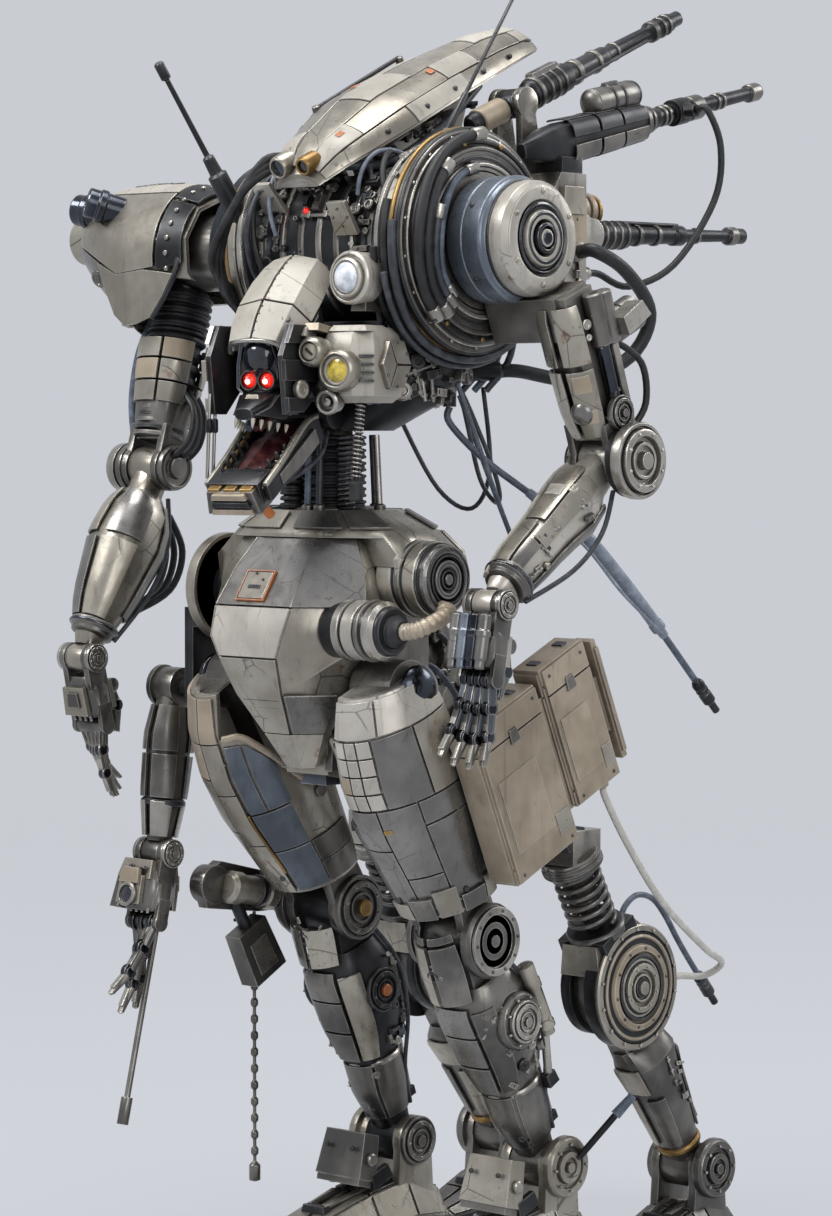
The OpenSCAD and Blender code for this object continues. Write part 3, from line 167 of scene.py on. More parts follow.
def worn(name, dark, light, metal=0.0, rough=0.5, bare=BARE_METAL, dirt_and_shade=0.8, chips=0.5,
         rust=0.0, cracks=0.0):
    """Painted or bare metal: soft tone, rubbed edges, painted shade in corners and creases, faint streaks, chips
    and cracks.
    """
    g = Graph(name)
    where = g.add("TexCoord").outputs["Object"]
    geometry = g.add("NewGeometry")
    patch = g.noise(where, 22, 3)
    blotch = g.noise(where, 95, 5)
    speck = g.noise(where, 620, 3)
    tone = g.mix(g.spread(patch, 0.35, 0.65), dark, light)
    island = g.spread(geometry.outputs["Random Per Island"], 0, 1, 0.8, 1.0)
    tone = g.mix(1.0, tone, g.add("CombineColor", {0: island, 1: island, 2: island}).outputs[0], "MULTIPLY")
    stretched = g.add("Mapping", {"Vector": where, "Scale": (1.0, 1.0, 0.07)}).outputs[0]
    streak = g.spread(g.noise(stretched, 260, 4), 0.54, 0.76, 0.0, 0.4 * dirt_and_shade)
    tone = g.mix(streak, tone, GRIME_AND_SHADE)
    if rust:
        spot = g.math("MULTIPLY", g.spread(g.noise(where, 150, 5), 0.62, 0.68),
                      g.spread(patch, 0.5, 0.6, 0, rust))
        tone = g.mix(spot, tone, rgb(132, 70, 44))
    if cracks:
        cell = g.add("TexVoronoi", {"Vector": where, "Scale": 30.0},
                     feature="DISTANCE_TO_EDGE").outputs["Distance"]
        line = g.math("MULTIPLY", g.spread(cell, 0.011, 0.004), g.spread(patch, 0.5, 0.56, 0, cracks))
        tone = g.mix(line, tone, GRIME_AND_SHADE)
    chip = g.math("MULTIPLY", g.spread(g.noise(where, 300, 7), 0.62, 0.66),
                  g.spread(patch, 0.5, 0.6, 0, chips))
    tone = g.mix(chip, tone, rgb(58, 54, 50))
    rounded = g.add("Bevel", {"Radius": 0.0009}, samples=4).outputs[0]
    facing = g.add("VectorMath", {0: rounded, 1: geometry.outputs["Normal"]}, operation="DOT_PRODUCT")
    edge = g.spread(facing.outputs["Value"], 0.995, 0.93)
    edge = g.math("MULTIPLY", edge, g.spread(blotch, 0.34, 0.6, 0.2, EDGE_WEAR))
    tone = g.mix(edge, tone, bare)
    # Painted shade: ambient occlusion darkens corners, creases and gaps between parts towards the grime colour,
    # mottled by fine noise.
    open_air = g.add("AmbientOcclusion", {"Distance": 0.012}, samples=4).outputs["AO"]
    corner = g.math("MULTIPLY", g.spread(open_air, 0.7, 0.15), g.spread(speck, 0.2, 0.6, 0.7 * dirt_and_shade, dirt_and_shade))
    tone = g.mix(corner, tone, GRIME_AND_SHADE)
    gloss = g.spread(blotch, 0.3, 0.7, rough + 0.06, rough - 0.08)
    gloss = g.math("ADD", gloss, g.math("MULTIPLY", corner, 0.3))
    bump = g.add("Bump", {"Height": speck, "Strength": 0.08, "Distance": 0.0004})
    shader = g.add("BsdfPrincipled", {"Base Color": tone, "Roughness": gloss, "Normal": bump.outputs[0]})
    if metal:
        shader.inputs["Metallic"].default_value = metal
    else:
        g.tree.links.new(edge, shader.inputs["Metallic"])
    return g.close(shader)


def rubber(name, dark, light, rough=0.55):
    """Rubber or plastic skin with dust and a faint sheen."""
    g = Graph(name)
    where = g.add("TexCoord").outputs["Object"]
    dust = g.noise(where, 140, 5)
    speck = g.noise(where, 900, 2)
    tone = g.mix(g.spread(dust, 0.4, 0.75), dark, light)
    bump = g.add("Bump", {"Height": speck, "Strength": 0.06, "Distance": 0.0003})
    gloss = g.spread(dust, 0.3, 0.7, rough - 0.12, rough + 0.12)
    return g.close(g.add("BsdfPrincipled",
            {"Base Color": tone, "Roughness": gloss, "Normal": bump.outputs[0]}))


def lens(name, middle, rim, glow=0.0):
    """Glass lens, brighter in patches, that may glow. The glow is painted light, brightest in the middle where the
    lens faces the camera.
    """
    g = Graph(name)
    where = g.add("TexCoord").outputs["Object"]
    patches_and_painted_core = g.spread(g.noise(where, 160, 3), 0.35, 0.65)
    if glow:
        # Painted glow: a brighter core where the surface faces the camera.
        patches_and_painted_core = g.spread(g.add("LayerWeight", {"Blend": 0.5}).outputs["Facing"], 0.75, 0.1)
    tone = g.mix(patches_and_painted_core, rim, middle)
    shader = g.add("BsdfPrincipled", {"Base Color": tone, "Roughness": 0.08})
    shader.inputs["Coat Weight"].default_value = 0.6
    if glow:
        # Painted light: the lens glows though it is no lamp.
        g.tree.links.new(tone, shader.inputs["Emission Color"])
        shader.inputs["Emission Strength"].default_value = glow
    return g.close(shader)


FINISH = {
    "sand": worn("sand_paint", rgb(150, 143, 131), rgb(182, 176, 163), metal=0.75, rough=0.33,
                 rust=0.5, cracks=0.6),
    "pale": worn("pale_paint", rgb(182, 176, 165), rgb(208, 202, 191), metal=0.5, rough=0.34,
                 rust=0.3, cracks=0.5),
    "cream": worn("cream_paint", rgb(168, 162, 150), rgb(190, 184, 172), metal=0.12, rough=0.42,
                  rust=0.4, cracks=0.5),
    "silver": worn("silver_paint", rgb(116, 114, 111), rgb(146, 143, 139), metal=0.8, rough=0.3,
                   rust=0.2, cracks=0.4),
    "blue": worn("blue_grey_paint", rgb(80, 86, 94), rgb(108, 115, 124), metal=0.6, rough=0.33, chips=0.4),
    "sky": worn("pale_blue_paint", rgb(100, 108, 118), rgb(138, 147, 158), metal=0.6, rough=0.3, chips=0.5),
    "tan": worn("tan_paint", rgb(146, 132, 112), rgb(180, 165, 144), metal=0.3, rough=0.45, chips=0.3),
    "gunmetal": worn("gunmetal", rgb(92, 90, 87), rgb(138, 134, 128), metal=0.8, rough=0.34,
                     bare=rgb(204, 200, 192)),
    "steel": worn("steel", rgb(134, 130, 123), rgb(190, 185, 176), metal=0.85, rough=0.28,
                  bare=rgb(228, 224, 216)),
    "iron": worn("dark_iron", rgb(34, 35, 37), rgb(66, 66, 68), metal=0.65, rough=0.38,
                 bare=rgb(146, 144, 142)),
    "chrome": worn("dark_chrome", rgb(46, 48, 54), rgb(80, 84, 92), metal=1.0, rough=0.2,
                   chips=0.1, dirt_and_shade=0.5),
    "brass": worn("worn_brass", rgb(118, 92, 54), rgb(172, 138, 84), metal=0.8, rough=0.4,
                  bare=rgb(214, 186, 128)),
    "bone": worn("tooth", rgb(150, 140, 118), rgb(200, 192, 172), rough=0.4, chips=0.2),
    "orange": worn("orange_mark", rgb(168, 92, 38), rgb(206, 122, 54), chips=0.4),
    "rubber": rubber("black_rubber", rgb(20, 20, 21), rgb(46, 46, 48)),
    "cable": rubber("grey_cable", rgb(44, 46, 50), rgb(78, 82, 88), rough=0.42),
    "blue_cable": rubber("blue_cable", rgb(72, 80, 92), rgb(110, 120, 134), rough=0.4),
    "pale_cable": rubber("pale_cable", rgb(112, 120, 132), rgb(142, 150, 162), rough=0.4),
    "white_cable": rubber("white_cable", rgb(178, 175, 167), rgb(198, 195, 187)),
    "flesh": rubber("mouth_lining", rgb(48, 20, 22), rgb(92, 42, 42), rough=0.35),
    # Painted light: the red glass glows, and the white-hot glass is a glowing painted highlight; neither is a
    # lamp.
    "red_glass": lens("red_glass", rgb(235, 34, 20), rgb(84, 4, 4), glow=0.9),
    "hot_glass": lens("hot_glass", rgb(255, 240, 220), rgb(255, 190, 150), glow=3.0),
    "white_glass": lens("white_glass", rgb(244, 246, 250), rgb(190, 196, 206)),
    "yellow_glass": lens("yellow_glass", rgb(226, 200, 84), rgb(140, 122, 48)),
    "dark_glass": lens("dark_glass", rgb(30, 36, 48), rgb(8, 9, 12)),
}

# Shapes: each adds to a mesh, in the millimetres of frame m


def faces_of(bm, rings):
    """Skins a row of rings of points, and caps the two ends."""
    rows = [[bm.verts.new(p) for p in ring] for ring in rings]
    n = len(rows[0])
    for a, b in zip(rows, rows[1:]):
        for i in range(n):
            k = (i + 1) % n
            bm.faces.new((a[i], a[k], b[k], b[i]))
    bm.faces.new(rows[0][::-1])
    bm.faces.new(rows[-1])


def box(bm, m, centre, size, tilt=0, yaw=0, roll=0, taper=1.0):
    """Box whose top may be narrower than its foot."""
    f = shift(m, *centre, tilt=tilt, yaw=yaw, roll=roll)
    x, y, z = (s / 2 for s in size)
    rings = [[f @ Vector((sx * x * k, sy * y * k, h)) for sx, sy in ((-1, -1), (1, -1), (1, 1), (-1, 1))]
             for h, k in ((-z, 1.0), (z, taper))]
    faces_of(bm, rings)


def spin(axis):
    """Turn that takes +Z to the axis."""
    return Vector((0, 0, 1)).rotation_difference(Vector(axis)).to_matrix().to_4x4()


def turned(bm, m, foot, axis, outline, sides=32):
    """Solid of revolution about axis from foot, in pairs of distance and radius."""
    f = m @ Matrix.Translation(foot) @ spin(axis)
    angles = [2 * math.pi * i / sides for i in range(sides)]
    rings = [[f @ Vector((max(r, 0.02) * math.cos(a), max(r, 0.02) * math.sin(a), d)) for a in angles]
             for d, r in outline]
    faces_of(bm, rings)


def rod(bm, m, p, q, r, r_end=None, sides=14):
    """Round rod from p to q."""
    p, q = Vector(p), Vector(q)
    turned(bm, m, p, q - p, [(0, r), ((q - p).length, r if r_end is None else r_end)], sides)


def ball(bm, m, centre, r, sides=20):
    """Ball about a centre."""
    rows = sides // 2
    turned(bm, m, centre, (0, 0, 1), [(-r * math.cos(math.pi * i / rows), r * math.sin(math.pi * i / rows))
                                      for i in range(rows + 1)], sides)


def curve_through(points, steps=6):
    """Smooth row of points through the given ones."""
    pts = [Vector(p) for p in points]
    row = []
    for i in range(len(pts) - 1):
        p, q, r, s = pts[max(i - 1, 0)], pts[i], pts[i + 1], pts[min(i + 2, len(pts) - 1)]
        for k in range(steps):
            t = k / steps
            row.append(0.5 * (2 * q + (r - p) * t + (2 * p - 5 * q + 4 * r - s) * t * t
                              + (3 * q - p - 3 * r + s) * t ** 3))
    return row + [pts[-1]]


def hose(bm, m, points, r, ribs=0, depth=0.18, sides=10, steps=6):
    """Tube along a smooth curve, plain or with ribs."""
    row = [m @ p for p in curve_through(points, max(steps, 4 * ribs // max(len(points) - 1, 1)))]
    angles = [2 * math.pi * k / sides for k in range(sides)]
    normal = Vector((0.31, 0.87, 0.38))
    rings = []
    for i, p in enumerate(row):
        t = (row[min(i + 1, len(row) - 1)] - row[max(i - 1, 0)]).normalized()
        normal = (normal - t * normal.dot(t)).normalized()
        side = t.cross(normal)
        size = r * MM * (1 - depth * (i // 2 % 2 if ribs else 0))
        rings.append([p + (normal * math.cos(a) + side * math.sin(a)) * size for a in angles])
    faces_of(bm, rings)


def slab(bm, m, outline, x0, x1):
    """Outline in Y and Z, extruded along X."""
    faces_of(bm, [[m @ Vector((x, y, z)) for y, z in outline] for x in (x0, x1)])


def facet(bm, m, corners, gap=0.8, lift=0.0, thick=1.2, inside=(0, 0, 0)):
    """Armour plate on a facet: its corners drawn in by gap, and raised away from a point inside."""
    pts = [Vector(c) for c in corners]
    middle = sum(pts, Vector()) / len(pts)
    sides = zip(pts, pts[1:] + pts[:1])
    normal = sum(((p - middle).cross(q - middle) for p, q in sides), Vector())
    normal.normalize()
    if normal.dot(middle - Vector(inside)) < 0:
        normal = -normal
    drawn = [p + (middle - p).normalized() * gap * 1.4 for p in pts]
    faces_of(bm, [[m @ (p + normal * h) for p in drawn] for h in (lift, lift + thick)])


def power(v, p):
    """Power of a size that keeps its sign."""
    return math.copysign(abs(v) ** p, v)


def section(stations, z, angle, p=1.0):
    """Point on a shell of stations: height, centre x, y and half-widths x, y. p squares its corners."""
    rows = sorted(stations)
    i = max(0, min(len(rows) - 2, sum(s[0] <= z for s in rows) - 1))
    a, b = rows[i], rows[i + 1]
    t = (z - a[0]) / (b[0] - a[0])
    cx, cy, hx, hy = (a[k] + (b[k] - a[k]) * t for k in range(1, 5))
    w = math.radians(angle)
    return Vector((cx + hx * power(math.cos(w), p), cy + hy * power(math.sin(w), p), z))


def patch(bm, m, grid, gap=0.5, lift=0.2, thick=1.2, inside=(0, 0, 0)):
    """Bent armour plate over a grid of points, drawn in at its edge and raised away from a point inside."""
    rows, columns = len(grid), len(grid[0])
    pts = [[Vector(p) for p in row] for row in grid]
    out = []
    for i in range(rows):
        line = []
        for k in range(columns):
            along = pts[min(i + 1, rows - 1)][k] - pts[max(i - 1, 0)][k]
            across = pts[i][min(k + 1, columns - 1)] - pts[i][max(k - 1, 0)]
            way = along.cross(across).normalized()
            line.append(way if way.dot(pts[i][k] - Vector(inside)) > 0 else -way)
        out.append(line)
    drawn = [[p.copy() for p in row] for row in pts]
    for i in range(rows):
        for k in range(columns):
            for edge, inner in (((i == 0), (i + 1, k)), ((i == rows - 1), (i - 1, k)), ((k == 0), (i, k + 1)),
                                ((k == columns - 1), (i, k - 1))):
                if edge:
                    drawn[i][k] += (pts[inner[0]][inner[1]] - pts[i][k]).normalized() * gap
    low, high = ([[bm.verts.new(m @ (p + way * h)) for p, way in zip(places, ways)]
                  for places, ways in zip(drawn, out)] for h in (lift, lift + thick))
    for i in range(rows - 1):
        for k in range(columns - 1):
            bm.faces.new((high[i][k], high[i][k + 1], high[i + 1][k + 1], high[i + 1][k]))
            bm.faces.new((low[i][k], low[i + 1][k], low[i + 1][k + 1], low[i][k + 1]))
    edge = ([(0, k) for k in range(columns - 1)] + [(i, columns - 1) for i in range(rows - 1)]
            + [(rows - 1, k) for k in range(columns - 1, 0, -1)] + [(i, 0) for i in range(rows - 1, 0, -1)])
    for (i, k), (i2, k2) in zip(edge, edge[1:] + edge[:1]):
        bm.faces.new((low[i][k], low[i2][k2], high[i2][k2], high[i][k]))


def plate(bm, m, stations, z0, z1, a0, a1, gap=0.5, lift=0.2, thick=1.2, steps=5, p=1.0):
    """Curved armour plate on a shell, between two heights and two angles."""
    grid = [[section(stations, z0 + (z1 - z0) * i / steps, a0 + (a1 - a0) * k / steps, p)
             for k in range(steps + 1)] for i in range(steps + 1)]
    middle = (section(stations, (z0 + z1) / 2, 0, p) + section(stations, (z0 + z1) / 2, 180, p)) / 2
    patch(bm, m, grid, gap, lift, thick, middle)


def plates(body, m, stations, rows, **shape):
    """Plates from rows of two heights, two angles and a finish."""
    for low, high, a0, a1, tone in rows:
        plate(part(body, tone), m, stations, low, high, a0, a1, **shape)


def bolts(bm, m, centre, axis, ring, count, r=1.0, h=0.8):
    """Ring of round bolt heads about an axis."""
    f = m @ Matrix.Translation(centre) @ spin(axis)
    for i in range(count):
        a = 2 * math.pi * i / count
        turned(bm, f, (ring * math.cos(a), ring * math.sin(a), 0), (0, 0, 1),
               [(-0.4, r), (h * 0.6, r), (h, r * 0.6)], 8)


def stud(bm, m, stations, z, angle, r=1.5, high=2.6):
    """Bolt head that stands out of a shell."""
    out = section(stations, z, angle)
    turned(bm, m, out, (out.x, out.y, 0), [(0, r), (high, r), (high + 0.6, r - 0.6)], 10)


def band(wide, r):
    """Outline of a round band with bevelled edges."""
    return [(0, r - 1), (0.6, r), (wide - 0.6, r), (wide, r - 1)]


def hub(bm, m, foot, axis, r, h):
    """Round cover with grooves, ribs and a hub."""
    turned(bm, m, foot, axis,
           [(0, 0), (0, r), (0.5 * h, r), (0.62 * h, 0.97 * r), (0.62 * h, 0.9 * r), (0.4 * h, 0.88 * r),
            (0.4 * h, 0.84 * r), (0.8 * h, 0.82 * r), (0.85 * h, 0.78 * r), (0.85 * h, 0.64 * r),
            (0.5 * h, 0.6 * r), (0.5 * h, 0.5 * r), (0.78 * h, 0.47 * r), (0.78 * h, 0.4 * r),
            (0.55 * h, 0.38 * r), (0.55 * h, 0.24 * r), (h, 0.22 * r), (h, 0)], 48)
    bolts(bm, m, [foot[i] + axis[i] * 0.85 * h for i in range(3)], axis, 0.71 * r, 8, 0.05 * r, 0.06 * r)


# Pieces

parts = {}


def part(body, tone):
    """Mesh that gathers the small pieces of one body and one finish."""
    if (body, tone) not in parts:
        parts[body, tone] = bmesh.new()
    return parts[body, tone]


# Rounding of the edges: of gathered pieces, dressed solids, plugs, and the tan boxes' trim and solids
EDGE, DRESS_EDGE, PLUG_EDGE, BOX_EDGE, BOX_DRESS_EDGE = 0.35, 0.4, 0.2, 0.9, 2.2


def make_piece(name, bm, body, tone, bevel, ride=True):
    """Object with rounded edges and its finish, that rides on a body."""
    bmesh.ops.recalc_face_normals(bm, faces=bm.faces)
    mesh = bpy.data.meshes.new(name)
    bm.to_mesh(mesh)
    bm.free()
    mesh.polygons.foreach_set("use_smooth", [True] * len(mesh.polygons))
    mesh.materials.append(FINISH[tone])
    piece = bpy.data.objects.new(name, mesh)
    bpy.context.scene.collection.objects.link(piece)
    if bevel:
        rounding = piece.modifiers.new("rounding", "BEVEL")
        rounding.width = bevel * MM
        rounding.segments = 2
        rounding.limit_method = "ANGLE"
        rounding.angle_limit = math.radians(32)
        rounding.harden_normals = True
    if ride:
        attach(piece, body)
    return piece


BODY_OF = {n: b for b, nodes in frame["record"]["behaviour"]["bodies"].items() for n in nodes}


def dress(node, tone, bevel):
    """Piece that stands for a CAD node: the same shape, with merged faces and rounded edges."""
    bm = bmesh.new()
    bm.from_mesh(frame["nodes"][node].data)
    bmesh.ops.remove_doubles(bm, verts=bm.verts, dist=2e-6)
    bmesh.ops.dissolve_limit(bm, angle_limit=math.radians(0.6), verts=bm.verts, edges=bm.edges)
    piece = make_piece(node + "_form", bm, BODY_OF[node], tone, bevel)
    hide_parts(node)
    return piece


# Cords: the routes of their solids, in millimetres

GUN_ROUTE = [(73.1, 199.5, 599.7), (80, 199.5, 599.7), (84, 206, 580), (82, 203, 552), (78, 174, 518),
             (72, 144, 506), (66, 127, 512), (66, 117.1, 512)]
HOSE_ROUTE = [(76.1, 100, 522), (86, 100, 522), (90, 120, 512), (86, 144, 492), (78, 138, 470),
              (66, 110, 458), (54.1, 78.1, 462), (48.1, 70.1, 462)]
LOOSE_ROUTE = [(34, 48, 443.9), (34, 48, 436), (46, 60, 418), (64, 80, 398), (78, 100, 380), (84, 122, 358),
               (88, 150, 330), (90, 178, 302)]
BOX_ROUTE = [(89, 103, 251.6), (89, 105.8, 245.2), (93, 118, 222), (97, 142, 190), (98, 176, 163),
             (93, 198, 152), (82, 198, 144), (74, 188, 144), (74, 180.1, 144)]
CORD, HOSE, SMALL_CORD, STRAP = 3.6, 7.0, 2.4, 3.2


def make_cord(name, route, diameter, tone, body="torso", ends=None, node=None,
              with_pieces=()):
    """Cord along a smooth route, that rides on a body, or stays where it is built when it runs between two."""
    bm = bmesh.new()
    row = curve_through(route, 6)
    hose(bm, ROBOT, row, diameter / 2, sides=14, steps=1)
    piece = make_piece(name, bm, body, tone, bevel=0, ride=ends is None)
    if ends:
        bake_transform(piece)
    if node:
        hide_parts(node)
    return piece


def make_plug(name, route, body, tone):
    """Round plug with a grip and a pin ring on a cord's end."""
    bm = bmesh.new()
    way = Vector(route[-1]) - Vector(route[-2])
    outline = [(0, 1.8), (1, 2.6), (3, 3.4), (5, 3.4), (5.4, 3.0), (6.4, 3.0), (6.8, 3.4), (8.4, 3.4),
               (8.8, 3.0), (9.8, 3.0), (10.2, 3.4), (16, 3.4), (17, 2.6), (17, 2.0), (24, 2.0),
               (24, 1.4), (18, 1.3)]
    turned(bm, ROBOT, route[-1], way, outline, 24)
    return make_piece(name, bm, body, tone, PLUG_EDGE)


def make_sleeve(name, route, body, tone):
    """Thick sleeve on part of a cord, with a thin lead tied along it."""
    bm = bmesh.new()
    hose(bm, ROBOT, route[3:7], 3.4, sides=16)
    for place, after in ((route[3], route[4]), (route[6], route[5])):
        turned(bm, ROBOT, place, Vector(after) - Vector(place),
               [(-6, 1.7), (-5, 2.4), (-1, 2.6), (0, 3.9), (4, 3.9), (5, 3.4)], 20)
    aside = [Vector(p) + Vector((2.6, 0, -2.6)) for p in route[3:7]]
    aside[1] += Vector((2, -2, -5))
    aside[2] += Vector((2, -3, -6))
    hose(bm, ROBOT, aside, 0.8, sides=8)
    return make_piece(name, bm, body, tone, PLUG_EDGE)


make_cord("gun_lead", GUN_ROUTE, CORD, "rubber", node="gun_cord")
make_cord("chest_hose_skin", HOSE_ROUTE, HOSE, "rubber", node="chest_hose")
make_cord("loose_lead", LOOSE_ROUTE, CORD, "blue_cable", node="loose_cord",
          with_pieces=[make_plug("loose_plug", LOOSE_ROUTE, "torso", "iron"),
                       make_sleeve("loose_sleeve", LOOSE_ROUTE, "torso", "pale_cable")])
make_cord("box_lead", BOX_ROUTE, CORD, "white_cable", body="pelvis",
          ends="rear_left_thigh", node="box_cord")

# Stiff strap with a plug, behind the rear left drum
STRAP_ROUTE = [(66, 146, 176.5), (66, 150, 184), (66, 160, 189), (66, 173, 186), (66, 184, 176),
               (66, 194, 163), (66, 204, 151), (66, 212, 142)]
make_cord("strap_lead", STRAP_ROUTE, STRAP, "blue_cable", body="rear_left_thigh",
          with_pieces=[make_plug("strap_plug", STRAP_ROUTE, "rear_left_thigh", "iron")])

# Hanging leads under the trunk, each from one fitting to another
HANGING = {
    "hanging_lead_a": ("cable", [(40, 50, 452), (42, 56, 440), (47, 66, 414), (45, 74, 399), (37, 79, 396),
                                 (28, 78, 408), (22, 75, 436), (20, 72, 452)]),
    "hanging_lead_b": ("blue_cable", [(46, 40, 456), (50, 44, 440), (58, 58, 396), (58, 72, 372),
                                      (46, 84, 374), (28, 84, 410), (14, 78, 450)]),
    "hanging_lead_c": ("cable", [(-20, 64, 452), (-18, 70, 436), (-4, 82, 402), (14, 88, 392), (28, 86, 412),
                                 (32, 76, 454)]),
}
for name, (tone, route) in HANGING.items():
    make_cord(name, route, SMALL_CORD, tone)

# Springs of the rear struts

STRUT_TOP = {1: ROBOT @ Vector((66, 104, 216)), -1: ROBOT @ Vector((-66, 104, 216))}
SPRING_R, SPRING_WIRE, SPRING_TURNS, STRUT_SEAT, STRUT_HEAD = 11.5, 3.2, 6, 38, 8


def drum_frame(name, side):
    """Frame at a rear drum, with +Z up its strut."""
    run = STRUT_TOP[side] - JOINT[name + "_knee"]
    turn = Matrix.Rotation(math.atan2(-run.y, run.z), 4, "X")
    place = Matrix.Translation(JOINT[name + "_knee"]) @ turn @ Matrix.Diagonal((side * MM, MM, MM, 1))
    return place, run.length / MM


def make_spring(name, side, node):
    """Coil spring of a rear strut, as long as the strut between its seat and head."""
    f, reach = drum_frame(name, side)
    length = reach - STRUT_HEAD - STRUT_SEAT
    steps = 24 * SPRING_TURNS
    row = []
    for i in range(steps + 1):
        a = 2 * math.pi * SPRING_TURNS * i / steps
        z = STRUT_SEAT + SPRING_WIRE / 2 + (length - SPRING_WIRE) * i / steps
        row.append((SPRING_R * math.cos(a), SPRING_R * math.sin(a), z))
    bm = bmesh.new()
    hose(bm, f, row, SPRING_WIRE / 2, sides=12, steps=1)
    piece = make_piece(node + "_coil", bm, "pelvis", "gunmetal", bevel=0, ride=False)
    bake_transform(piece)
    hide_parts(node)


make_spring("rear_left", 1, "rl_spring")
make_spring("rear_right", -1, "rr_spring")

# Armour and frames that keep their solids' shape

DRESS = {
    "sand": ["pelvis_cowl", "pelvis_front_plate", "carapace", "right_pod", "r_forearm", "fr_thigh_shell",
             "fr_foot", "fl_foot"],
    "pale": ["chest_lamp", "l_shoulder_cap", "l_forearm", "fl_thigh_shell"],
    "cream": ["face_plate", "lens_housing"],
    "sky": ["l_shoulder_drum"],
    "tan": ["pannier_boxes"],
    "iron": ["torso_barrel", "chest_frame", "skull", "jaw", "rl_thigh", "rr_thigh", "hip_drives", "antennas",
             "fr_shank", "upper_cannon", "middle_cannon", "lower_cannon"],
    "gunmetal": ["shoulder_rings", "hip_arm", "fl_shank", "r_palm", "r_fingers", "r_thumb",
                 "l_palm", "l_fingers", "l_thumb", "hip_arm_palm", "hip_arm_fingers",
                 "fr_thigh_link", "fl_thigh_link", "rl_shank", "rr_shank", "rl_foot", "rr_foot",
                 "l_upper_arm", "r_upper_arm", "hanging_chain"],
    "steel": ["pelvis_frame", "rear_frame", "gun_mount"],
    "rubber": ["waist_boot", "r_arm_boot"],
    # The eyes glow with painted light.
    "red_glass": ["eyes"],
}
for tone, nodes in DRESS.items():
    for node in nodes:
        dress(node, tone, BOX_DRESS_EDGE if node == "pannier_boxes" else DRESS_EDGE)

# Small fittings that fill a surface


def clutter(body, m, spot, count, size=4.0, tones=("iron", "gunmetal", "gunmetal", "steel")):
    """Scatters small boxes, cans and pipes over a surface given by spot: a point and its outward way."""
    for _ in range(count):
        p, way = spot(chance.random(), chance.random())
        quarter = Matrix.Rotation(math.pi / 2 * chance.randrange(4), 4, "Z")
        f = m @ Matrix.Translation(p) @ spin(way) @ quarter
        bm = part(body, chance.choice(tones))
        a, b, h = (size * chance.uniform(*span) for span in ((0.6, 2.2), (0.5, 1.2), (0.3, 0.8)))
        kind = chance.random()
        if kind < 0.5:
            box(bm, f, (0, 0, h / 2 - 0.4), (a, b, h), taper=0.82)
            if a > size:
                box(bm, f, (a * 0.2, 0, h), (a * 0.3, b * 0.5, h * 0.5), taper=0.8)
        elif kind < 0.78:
            turned(bm, f, (0, 0, -0.4), (0, 0, 1),
                   [(0, 0.5 * a), (h, 0.5 * a), (1.2 * h, 0.4 * a), (1.2 * h, 0.25 * a), (0.9 * h, 0.2 * a)],
                   16)
        else:
            rod(bm, f, (-a, 0, 0.3 * h), (a, 0, 0.3 * h), 0.22 * size, sides=10)
            for x in (-0.6, 0.5):
                box(bm, f, (x * a, 0, 0.25 * h), (0.35 * size, 0.7 * size, 0.8 * h))


def around_x(x0, x1, y, z, r, a0, a1):
    """Surface of a cylinder about X: angle 0 is up, 90 is backward."""
    def spot(u, v):
        a = math.radians(a0 + (a1 - a0) * v)
        way = Vector((0, math.sin(a), math.cos(a)))
        return Vector((x0 + (x1 - x0) * u, y, z)) + way * r, way
    return spot


def on_form(stations, z0, z1, a0, a1, p=1.0):
    """Surface of a shell given by stations."""
    def spot(u, v):
        z, a = z0 + (z1 - z0) * u, a0 + (a1 - a0) * v
        here = section(stations, z, a, p)
        return here, (here - section(stations, z, a + 180, p)).normalized()
    return spot


def on_flat(corner, along, up, way):
    """Flat surface from a corner along two edges."""
    def spot(u, v):
        return Vector(corner) + Vector(along) * u + Vector(up) * v, Vector(way)
    return spot


# Front legs

THIGH_FORM = [(-114, 0, 0, 23, 24), (-98, 0, -1, 25, 27), (-62, 0, -4, 28, 34), (-36, 0, -5, 28, 36),
              (-10, 0, -5, 25, 33), (8, 0, -4, 21, 26)]
MOUTH_EDGE = [(-60, -10), (-30, -14), (-10, -52), (60, -80)]
SHIN_FORM = [(-129, 0, 0, 9.4, 9), (-123, 0, 0, 9.4, 10), (-106, 0, -1, 12, 14), (-86, 0, 0, 13, 15),
             (-66, 0, 1, 19, 20), (-34, 0, 0, 20, 22), (-22, 0, 0, 15, 17)]
KNEECAP_FORM = [(-26, 0, -3, 17, 22), (-8, 0, -2, 19, 22), (10, 0, -1, 16, 21), (22, 0, 0, 11, 18)]
THIGH_LENGTH = 137


def mouth_height(y):
    """Height of the thigh shell's slanted inner edge at y."""
    for (y0, z0), (y1, z1) in zip(MOUTH_EDGE, MOUTH_EDGE[1:]):
        if y <= y1:
            return z0 + (z1 - z0) * (y - y0) / (y1 - y0)
    return MOUTH_EDGE[-1][1]


def rim_height(a):
    """Height of the slanted edge at an angle about the shell."""
    z = -20.0
    for _ in range(12):
        z = 0.5 * z + 0.5 * mouth_height(section(THIGH_FORM, z, a).y)
    return z


def mouth_rim():
    """Points along the slanted edge, from the front to the back of the inner side."""
    return [section(THIGH_FORM, rim_height(a), a) for a in range(-112, -206, -8)]


